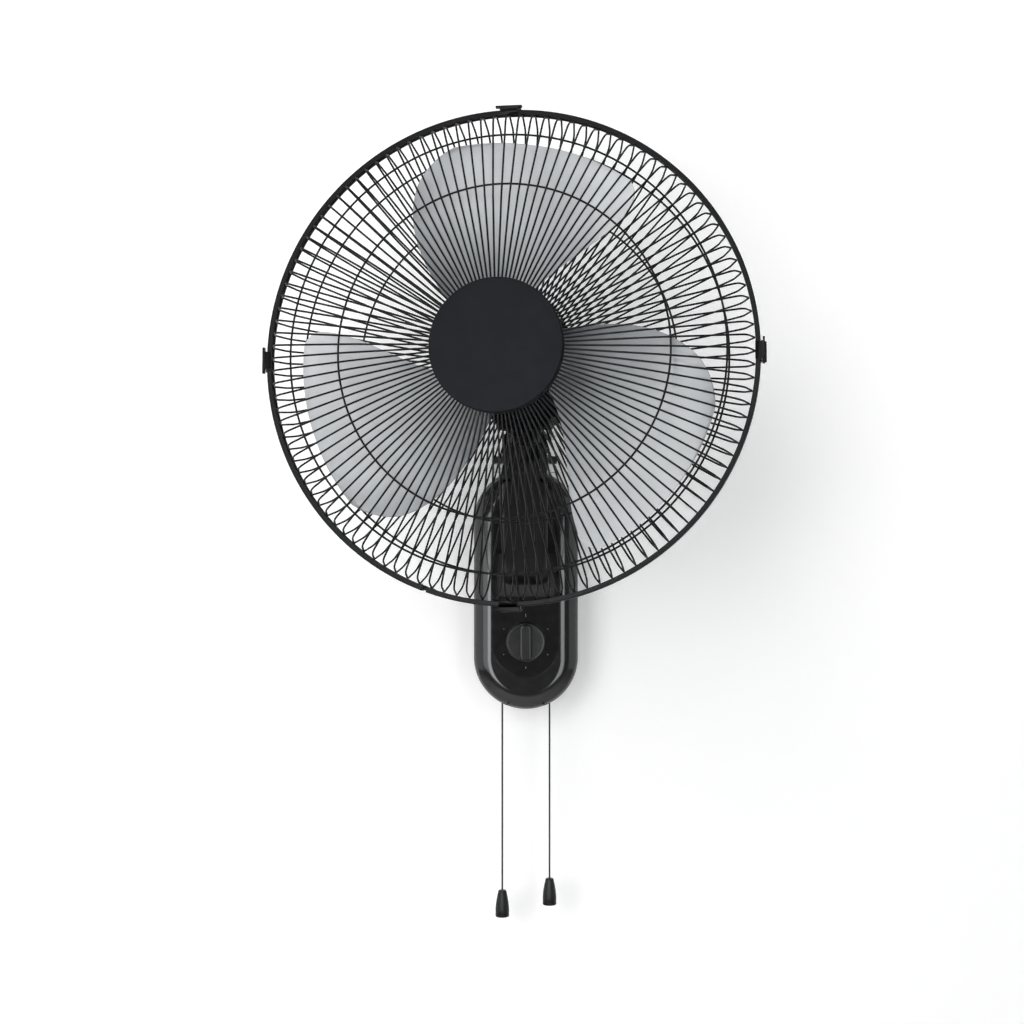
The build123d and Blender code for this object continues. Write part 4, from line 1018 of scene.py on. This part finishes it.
def model_rear_cover(s):
    """Rear of the housing: rounded cup with cooling slots and the crank's opening."""
    high = -s.seam - GAP
    wall = s.radius - s.skin
    back = -s.tail
    inside = s.rounding - s.skin
    cup = lathe("motor_rear", [
        (0, back), (0.020, back), (0.0206, back + 0.0006), (0.022, back + 0.0006), (0.0226, back),
        (s.radius - s.rounding, back),
        *arc(s.radius - s.rounding, back + s.rounding, s.rounding, -90, 0, 14)[1:],
        (s.radius, high - 0.0008), (s.radius - 0.0006, high), (wall, high),
        *arc(wall - inside, back + s.rounding, inside, 0, -90, 8), (0, back + s.skin)], 128)
    slot = brick("slot", (0.037, -0.0011, back - PAST), (0.060, 0.0011, back + s.rounding))
    round_uprights(slot, 0.0010, 3)
    slots = ring_of(slot, s.vents, radians(7.5))
    tools = [slots, rod("crank", 0.0040, -0.060, -0.044, "Y", 32, (0.0054, 0, -0.0523))]
    for spot in places_round(4, 0.027, radians(45)):
        tools.append(rod("sink", 0.0019, back - PAST, back + 0.003, centre=spot, steps=24))
    cut(cup, *tools)
    smooth(cup, 30)
    return cup


class FanMotor(bpy.types.Operator):
    """Model the two covers of the motor housing"""
    bl_idname = "mesh.fan_motor"
    bl_label = "Motor housing"

    def execute(self, context):
        s = context.scene.fan_motor
        for end, make in (("front", model_front_cover), ("rear", model_rear_cover)):
            finish(make(s), HEAD, "head", coat("housing_black", end + "_housing"), end + "_cover")
        return {"FINISHED"}


# ---------------------------------------------------------------- guard
# A wire's shoulder, knee and inner end: distance from the axis, and in front of the rim plane
FRONT_WIRE = ((0.214, 0.021), (0.138, 0.0432), (0.050, 0.060))
REAR_WIRE = ((0.212, -0.018), (0.139, -0.0498), (0.046, -0.06815))
RING_PLACES = (0.197, 0.149)      # distances of the tie rings from the axis
EDGE_CLEAR = 0.00015    # between the edge ring and the rim band
RIM_SKIN = 0.0012       # thickness of the rim band
RIM_SPLIT = 250         # angle of the band's split, in degrees


def side_of(knees):
    """1 for the wires in front of the rim plane, -1 for those behind it."""
    return 1 if knees[0][1] > 0 else -1


def bend_points(points, radii, steps):
    """A line of points with its inner corners rounded to the given radii."""
    points = [Vector(point) for point in points]
    route = [points[0]]
    for before, here, after, radius, parts in zip(points, points[1:], points[2:], radii, steps):
        back = (before - here).normalized()
        on = (after - here).normalized()
        half = back.angle(on) / 2
        centre = here + (back + on).normalized() * radius / sin(half)
        reach = radius * cos(half) / sin(half)
        first = here + back * reach - centre
        turn = first.cross(here + on * reach - centre)
        for i in range(parts + 1):
            route.append(centre + Matrix.Rotation((pi - 2 * half) * i / parts, 3, turn) @ first)
    route.append(points[-1])
    return route


def model_wires(s, name, knees):
    """The wires of one guard: one wire, bent at the shoulder and the knee, copied round the axis."""
    start = (s.rim_radius - s.rim_band - s.wire - 0.0001, side_of(knees) * 0.0018)
    route = [(r, 0, s.rim_forward + depth) for r, depth in (start, *knees)]
    take(outlined(name, bend_points(route, (0.011, 0.080), (6, 4))))
    bpy.ops.object.convert(target="CURVE")
    curve = bpy.context.object
    curve.data.dimensions = "3D"
    curve.data.bevel_depth = s.wire
    curve.data.bevel_resolution = 1
    curve.data.use_fill_caps = True
    curve.data.twist_mode = "Z_UP"
    bpy.ops.object.convert(target="MESH")
    wires = ring_of(bpy.context.object, s.spokes)
    smooth(wires, 50)
    return wires


def hoop(name, radius, wire, z, sides=10, steps=144):
    """A round wire ring about z."""
    settle()
    bpy.ops.mesh.primitive_torus_add(major_radius=radius, minor_radius=wire, major_segments=steps,
                                     minor_segments=sides, location=(0, 0, z))
    bpy.ops.object.transform_apply()
    ring = named(name)
    smooth(ring, 60)
    return ring


def model_rings(s, name, knees):
    """Edge ring and the two rings that tie the wires of one guard."""
    (shoulder, low), (knee, high) = knees[:2]
    side = side_of(knees)
    edge_radius = s.rim_radius - RIM_SKIN - s.edge_wire - EDGE_CLEAR
    parts = [hoop("edge", edge_radius, s.edge_wire, s.rim_forward + side * (s.edge_wire + EDGE_CLEAR), 12)]
    slope = atan2(high - low, shoulder - knee)
    lift = side * (s.wire + s.ring_wire + 0.0001)
    for place in RING_PLACES:
        depth = low + (shoulder - place) * (high - low) / (shoulder - knee)
        parts.append(hoop("tie", place - lift * sin(slope), s.ring_wire,
                          s.rim_forward + depth - lift * cos(slope)))
    return gather(name, *parts)


def model_rim(s):
    """The channel band round the guard, split at its clamping lugs."""
    d, r, half = s.rim_forward, s.rim_radius, s.rim_half
    inner = r - s.rim_band
    skin = r - RIM_SKIN
    flat = half - RIM_SKIN
    turn = 0.0011
    outline = [(inner, d - half + 0.0003), (inner + 0.0003, d - half),
               *arc(r - turn, d - half + turn, turn, -90, 0, 4),
               (r - 0.0002, d - 0.0004), (r - 0.0002, d + 0.0004),
               *arc(r - turn, d + half - turn, turn, 0, 90, 4), (inner + 0.0003, d + half),
               (inner, d + half - 0.0003), (inner, d + flat), (skin, d + flat), (skin, d - flat),
               (inner, d - flat), (inner, d - half + 0.0003)]
    band = lathe("rim_band", outline, 192)
    spot = Matrix.Rotation(radians(RIM_SPLIT - 90), 4, "Z")
    gap = brick("gap", (-0.002, inner - 0.005, d - 0.020), (0.002, r + 0.005, d + 0.020))
    shift(gap, spot)
    cut(band, gap)
    smooth(band, 30)
    parts = [band]
    for low in (-0.006, 0.002):
        lug = brick("lug", (low, inner, d - 0.015), (low + 0.004, r - 0.0004, d - half + 0.001))
        cut(lug, rod("bore", 0.0016, low - PAST, low + 0.005, "X", 24, (0, r - 0.003, d - 0.0105)))
        soften(lug, 0.0005, 2)
        shift(lug, spot)
        parts.append(lug)
    return gather("rim_band", *parts)


def model_disc(s):
    """The dished disc in the middle of the front guard."""
    f, r = s.rim_forward + s.disc_face, s.disc
    disc = lathe("guard_disc", [
        (0, f), (r * 0.5, f - 0.00015), (r - 0.0015, f - 0.00074),
        *arc(r - 0.0015, f - 0.00224, 0.0015, 90, 0, 6), (r, f - 0.0105),
        (r - 0.0004, f - 0.011), (r - 0.002, f - 0.011), (r - 0.002, f - 0.0037),
        (r - 0.003, f - 0.0029), (0, f - 0.0022)], 128)
    smooth(disc, 40)
    pins = ring_of(rod("pin", 0.004, f - 0.0138, f - 0.003, steps=24, centre=(0.042, 0, 0)), 4, radians(45))
    smooth(pins)
    return gather("guard_disc", disc, pins)


def model_lock_nut():
    """The ring nut that holds the rear guard, with its grip notches."""
    low = 0.0159
    nut = lathe("ring_nut", [(0.0221, low), (0.031, low), (0.031, low + 0.0066), (0.0302, low + 0.0078),
                             (0.0229, low + 0.0078), (0.0221, low + 0.0070), (0.0221, low)], 96)
    notch = brick("notch", (0.0295, -0.002, low - PAST), (0.034, 0.002, low + 0.010))
    cut(nut, ring_of(notch, 12))
    smooth(nut, 30)
    return nut


class FanGuard(bpy.types.Operator):
    """Model the wires, rings, rim band, disc and ring nut of the guard"""
    bl_idname = "mesh.fan_guard"
    bl_label = "Guard"

    def execute(self, context):
        s = context.scene.fan_guard
        paint = coat("wire_coat", "guard_coat")
        for name, make, node_end in (("wires", model_wires, "spokes"), ("rings", model_rings, "rings")):
            for side, knees in (("front", FRONT_WIRE), ("rear", REAR_WIRE)):
                finish(make(s, f"{side}_{name}", knees), HEAD, "head", paint,
                       f"{side}_guard_{node_end}")
        finish(model_rim(s), HEAD, "head", coat("wire_coat", "rim_coat"), "rim_hoop")
        finish(model_disc(s), HEAD, "head", coat("disc_matte"), "centre_disc")
        finish(model_lock_nut(), HEAD, "head", coat("housing_black", "nut_black"),
               "guard_lock_nut")
        return {"FINISHED"}


# ---------------------------------------------------------------- blade
HUB_BACK = 0.078        # along the fan axis, from the swing axis
HUB_FRONT = 0.108
VANE_ROOT = 0.0325      # distance from the axis, just inside the hub's wall
MIDDLE = 0.095          # radius at which a vane's edges are measured
LEAD_CORNER = 0.014     # tip rounding of a vane's rear edge
TRAIL_CORNER = 0.024    # tip rounding of its front edge
PITCH = 0.0135          # half of a vane's rise at its root and tip
PITCH_MIDDLE = 0.0105   # what the middle of its length adds
DISH = 0.005            # how far the middle of its width lies back


def trailing_angle(r):
    """Angle of a vane's front edge, in degrees, at a radius."""
    t = r / MIDDLE - 1
    return 133 - 14 * t - 8 * t ** 3


def leading_angle(r):
    """Angle of a vane's rear edge, in degrees, at a radius."""
    t = r / MIDDLE - 1
    return 61 - 26 * t + 17 * t * t


def tip_turn(s, r, corner):
    """Radians by which a rounded tip corner draws an edge in."""
    past = max(0.0, r - (s.radius - corner)) / corner
    return (1 - sqrt(1 - 0.98 * past * past)) * corner / r


def vane_point(s, r, share):
    """A point of the first vane's mid surface, share from -1 (rear) to 1 (front)."""
    lead = radians(leading_angle(r)) + tip_turn(s, r, LEAD_CORNER)
    trail = radians(trailing_angle(r)) - tip_turn(s, r, TRAIL_CORNER)
    turn = (lead + trail) / 2 + share * (trail - lead) / 2
    swell = sin(pi * (r - s.hub) / (s.radius - s.hub))
    rise = (PITCH + PITCH_MIDDLE * swell) * share - DISH * (1 - share * share)
    return Vector((r * cos(turn), r * sin(turn), BLADE_FORWARD + rise))


def model_vane(s):
    """One vane: a grid drawn over its mid surface and given its thickness."""
    settle()
    bpy.ops.mesh.primitive_grid_add(x_subdivisions=44, y_subdivisions=36, size=2, calc_uvs=True)
    vane = named("vane")
    bpy.ops.mesh.select_all(action="DESELECT")
    mesh = bmesh.from_edit_mesh(vane.data)
    for vert in mesh.verts:
        out = (vert.co.x + 1) / 2
        r = VANE_ROOT + (s.radius - VANE_ROOT) * sin(pi / 2 * out) ** 0.9
        vert.co = vane_point(s, r, vert.co.y)
    bmesh.update_edit_mesh(vane.data)
    tidy()
    change(vane, "SOLIDIFY", thickness=s.sheet, offset=0, use_even_offset=True)
    smooth(vane, 50)
    return vane


def model_blade(s):
    """The blade moulding: cupped hub with ribs, and vanes copied round it."""
    r = s.hub
    hub = lathe("blade_moulding", [
        (r - 0.0004, HUB_BACK), (r, HUB_BACK + 0.0004), (r, HUB_FRONT - 0.006),
        *arc(r - 0.006, HUB_FRONT - 0.006, 0.006, 0, 90, 7), (0.012, HUB_FRONT), (0.012, HUB_FRONT - 0.004),
        (r - 0.008, HUB_FRONT - 0.004), (r - 0.003, HUB_FRONT - 0.008), (r - 0.003, HUB_BACK),
        (r - 0.0004, HUB_BACK)], 96)
    boss = lathe("boss", [(0.0051, HUB_BACK + 0.002), (0.0125, HUB_BACK + 0.002), (0.0125, HUB_FRONT - 0.001),
                          (0.0051, HUB_FRONT - 0.001), (0.0051, HUB_BACK + 0.002)], 48)
    rib = brick("rib", (0.011, -0.001, HUB_BACK + 0.008), (r - 0.002, 0.001, HUB_FRONT - 0.003))
    ribs = ring_of(rib, 6, radians(30))
    smooth(hub, 30)
    smooth(boss, 30)
    hub = gather("hub", hub, boss, ribs)
    hub.data.materials.append(smoke_plastic("hub_smoke", 0.90, finishes().deep))
    vanes = model_vane(s)
    vanes.data.materials.append(vane_plastic())
    ring_of(vanes, s.vanes)
    return gather("blade_moulding", vanes, hub)


def model_blade_nut():
    """The nut that holds the blade, with its grip ribs."""
    low = HUB_FRONT + GAP
    nut = lathe("blade_nut_cap", [(0.00505, low), (0.0166, low), (0.017, low + 0.0004), (0.017, low + 0.0046),
                                  (0.0166, low + 0.0050), (0.0135, low + 0.0052), (0.0130, low + 0.0120),
                                  *arc(0.0100, low + 0.0120, 0.0030, 0, 90, 5), (0, low + 0.0150),
                                  (0, low + 0.0110), (0.00505, low + 0.0110), (0.00505, low)], 72)
    rib = brick("grip", (0.0120, -0.0008, low + 0.0052), (0.0139, 0.0008, low + 0.0118))
    weld(nut, ring_of(rib, 10))
    smooth(nut, 30)
    return nut


class FanBlade(bpy.types.Operator):
    """Model the hub, vanes and nut of the blade"""
    bl_idname = "mesh.fan_blade"
    bl_label = "Blade"

    def execute(self, context):
        s = context.scene.fan_blade
        finish(model_blade(s), HEAD, "rotor", None, "fan_blade")
        finish(model_blade_nut(), HEAD, "rotor", coat("satin_black", "nut_satin"), "blade_nut")
        return {"FINISHED"}


# ---------------------------------------------------------------- rim clips
CLIP_PLACES = {"top": 90, "left": 180, "bottom": 270, "right": 0}


def model_clip(s, name):
    """One clip at the top of the rim: eye, strap, front hook and finger tab."""
    d = s.rim_forward
    low = s.rim_radius + 0.00035
    high = low + 0.0016
    pin = (0, s.rim_radius + 0.0026, d - 0.008)
    clip = brick(name, (-0.007, low, d - 0.008), (0.007, high, d - s.rim_half + 0.0014))
    front = d + s.rim_half + 0.0018
    weld(clip,
         brick("wide", (-0.0084, low, d - s.rim_half + 0.0004), (0.0084, high, front)),
         rod("eye", 0.00225, -0.007, 0.007, "X", 32, pin),
         brick("hook", (-0.008, s.rim_radius - s.rim_band - 0.0004, front - 0.0015), (0.008, high, front)),
         brick("tab", (-0.012, high - 0.0002, d + 0.0025), (0.012, high + 0.0016, front)))
    cut(clip, rod("bore", 0.00105, -0.008, 0.008, "X", 24, pin))
    soften(clip, 0.00035, 2)
    return clip


class FanClips(bpy.types.Operator):
    """Model one rim clip and copy it to its four places"""
    bl_idname = "mesh.fan_clips"
    bl_label = "Rim clips"

    def execute(self, context):
        s = context.scene.fan_guard
        paint = coat("satin_black", "clip_satin")
        first = model_clip(s, "rim_clip_top")
        clips = {"top": first}
        for name in ("left", "bottom", "right"):
            clips[name] = label(bpy.data.objects.new("", first.data.copy()), "rim_clip_" + name)
            context.scene.collection.objects.link(clips[name])
        for name, turn in CLIP_PLACES.items():
            spin = Matrix.Rotation(radians(turn - 90), 4, "Z")
            finish(clips[name], HEAD @ spin, f"clip_{name}_lever", paint, "clip_" + name)
        return {"FINISHED"}


# ---------------------------------------------------------------- stage
SEEN_LIFT = 0.235        # what the camera sees above a backdrop's own brightness
GLOSS_SHARE = 0.05       # how much of the white background shows in gloss
LAMP_AIM = Vector((0, -0.1, 0.1))
COOL, WARM = (0.97, 0.985, 1.0), (1.0, 0.99, 0.97)
WHITE = (1, 1, 1, 1)
# Lamps that only show in gloss: name, place, (width, height), power and colour
STRIPS = (
    ("left_strip", (-0.50, -2.2, 0.2), (0.5, 1.8), 9, COOL),
    ("left_haze", (-1.00, -2.2, 0.2), (1.5, 1.8), 15, COOL),
    ("left_side", (-2.2, -0.9, 0.2), (2.2, 2.2), 11, COOL),
    ("right_strip", (0.52, -2.2, 0.2), (0.6, 1.8), 11, COOL),
    ("right_side", (2.2, -0.9, 0.2), (2.2, 2.2), 8, COOL),
    ("high_strip", (-0.3, -1.3, 1.9), (1.3, 0.6), 8, WARM),
)


def lamp(name, place, size, power, colour, mirrored=False):
    """A soft lamp, (width, height) in size; a mirrored one only shows in gloss."""
    settle()
    bpy.ops.object.light_add(type="AREA", location=place)
    made = bpy.context.object
    made.name = name
    made.data.shape = "RECTANGLE"
    made.data.size, made.data.size_y = size
    made.data.energy = power
    made.data.color = colour
    made.visible_glossy = mirrored
    made.visible_diffuse = not mirrored
    made.rotation_euler = (Vector(place) - LAMP_AIM).to_track_quat("Z", "Y").to_euler()


def backdrop_paint(name, grey, see_through):
    """Plain matte paint that the camera sees lifted to white; a see-through one is clear from behind."""
    material = bpy.data.materials.new(name)
    material.use_nodes = True
    tree = material.node_tree
    shader = tree.nodes["Principled BSDF"]
    cloud = spread(tree, noise(tree, node(tree, "TexCoord").outputs["Object"], 2.0, 3), 0, 1)
    seen = spread(tree, node(tree, "LightPath").outputs["Is Camera Ray"], 0, SEEN_LIFT, 0, 1)
    colour = (grey, grey, grey)
    feed(shader, {"Roughness": 0.9, IOR: 0.1, "Emission Color": WHITE, "Emission Strength": seen,
                  "Base Color": tint(tree, cloud, scaled(colour, 0.995), scaled(colour, 1.0))})
    if see_through:
        mix = node(tree, "MixShader", {"Fac": node(tree, "NewGeometry").outputs["Backfacing"],
                                       1: shader.outputs["BSDF"],
                                       2: node(tree, "BsdfTransparent").outputs["BSDF"]})
        feed(tree.nodes["Material Output"], {"Surface": mix.outputs["Shader"]})
    return material


def backdrop(name, size, place, tilt, paint):
    """One large plane behind or below the fan."""
    settle()
    bpy.ops.mesh.primitive_plane_add(size=size, location=place, rotation=(tilt, 0, 0))
    plane = bpy.context.object
    plane.name = name
    plane.data.materials.append(paint)
    return plane


def studio_world():
    """A dim world that lights evenly, and a white one that the camera and clear pieces see."""
    world = bpy.data.worlds.new("studio")
    world.use_nodes = True
    tree = world.node_tree
    dim = tree.nodes["Background"]
    feed(dim, {"Color": (0.97, 0.98, 1.0, 1), "Strength": 0.18})
    white = node(tree, "Background", {"Color": WHITE, "Strength": 1.0})
    path = node(tree, "LightPath").outputs
    seen = node(tree, "Math", {0: path["Is Camera Ray"], 1: path["Is Transmission Ray"]},
                operation="MAXIMUM")
    share = node(tree, "Math", {0: path["Is Glossy Ray"], 1: GLOSS_SHARE, 2: seen.outputs["Value"]},
                 operation="MULTIPLY_ADD", use_clamp=True)
    mix = node(tree, "MixShader", {"Fac": share.outputs["Value"], 1: dim.outputs["Background"],
                                   2: white.outputs["Background"]})
    feed(tree.nodes["World Output"], {"Surface": mix.outputs["Shader"]})
    return world


def photo_camera(s):
    """The camera, square to the wall, with the photograph's framing."""
    bpy.ops.object.camera_add(location=(s.camera_x, -s.distance, s.camera_z), rotation=(pi / 2, 0, 0))
    camera = label(bpy.context.object, "photo_camera")
    camera.data.lens = s.lens
    camera.data.sensor_width = 36
    camera.data.shift_x = s.shift_x
    camera.data.shift_y = s.shift_y
    return camera


class FanStage(bpy.types.Operator):
    """Set the wall, floor, lamps and camera"""
    bl_idname = "object.fan_stage"
    bl_label = "Stage"

    def execute(self, context):
        s = context.scene.fan_stage
        wall = backdrop("stage_wall", 6, (0, 0.0005, 0.4), pi / 2, backdrop_paint("wall_paint", 0.93, True))
        floor = backdrop("stage_floor", 8, (0, -2, -1.2), 0, backdrop_paint("floor_paint", 0.90, False))
        lamp("left_box", (-0.90, -2.2, 0.45), (1.1, 1.5), s.key, (1.0, 0.995, 0.985))
        lamp("right_box", (0.80, -2.2, 0.2), (0.5, 1.6), s.fill, (0.96, 0.98, 1.0))
        lamp("high_lamp", (-0.8, -1.4, 1.7), (1.3, 1.0), s.top, WARM)
        for strip in STRIPS:
            lamp(*strip, mirrored=True)
        context.scene.world = studio_world()
        context.scene.camera = photo_camera(s)
        context.scene.view_settings.view_transform = "Standard"
        return {"FINISHED"}


# ---------------------------------------------------------------- panel and registration
OPERATORS = (FanBase, FanCords, FanNeck, FanMotor, FanGuard, FanBlade, FanClips, FanCadFinishes, FanStage)


class FanPanel(bpy.types.Panel):
    """Lists the fan's pieces and their sizes"""
    bl_idname = "VIEW3D_PT_wall_fan"
    bl_label = "Wall fan"
    bl_space_type = "VIEW_3D"
    bl_region_type = "UI"
    bl_category = "Wall fan"

    def draw(self, context):
        for operator in OPERATORS:
            self.layout.operator(operator.bl_idname)
        for group, sizes in SIZES.items():
            box = self.layout.box()
            box.label(text=sizes.__doc__)
            values = getattr(context.scene, group)
            for name in sizes.__annotations__:
                box.prop(values, name)


def register():
    """Add the property groups, operators and panel."""
    for group, sizes in SIZES.items():
        bpy.utils.register_class(sizes)
        setattr(bpy.types.Scene, group, PointerProperty(type=sizes))
    for kind in (*OPERATORS, FanPanel):
        bpy.utils.register_class(kind)


def unregister():
    """Take the panel, operators and property groups away."""
    for kind in reversed((*OPERATORS, FanPanel)):
        bpy.utils.unregister_class(kind)
    for group, sizes in SIZES.items():
        delattr(bpy.types.Scene, group)
        bpy.utils.unregister_class(sizes)


def main():
    """Model every piece in order."""
    register()
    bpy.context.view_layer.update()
    bpy.ops.mesh.fan_base()
    bpy.ops.mesh.fan_cords()
    bpy.ops.mesh.fan_neck()
    bpy.ops.mesh.fan_motor()
    bpy.ops.mesh.fan_guard()
    bpy.ops.mesh.fan_blade()
    bpy.ops.mesh.fan_clips()
    bpy.ops.material.fan_finishes()
    bpy.ops.object.fan_stage()
    settle()


if __name__ == "__main__":
    main()
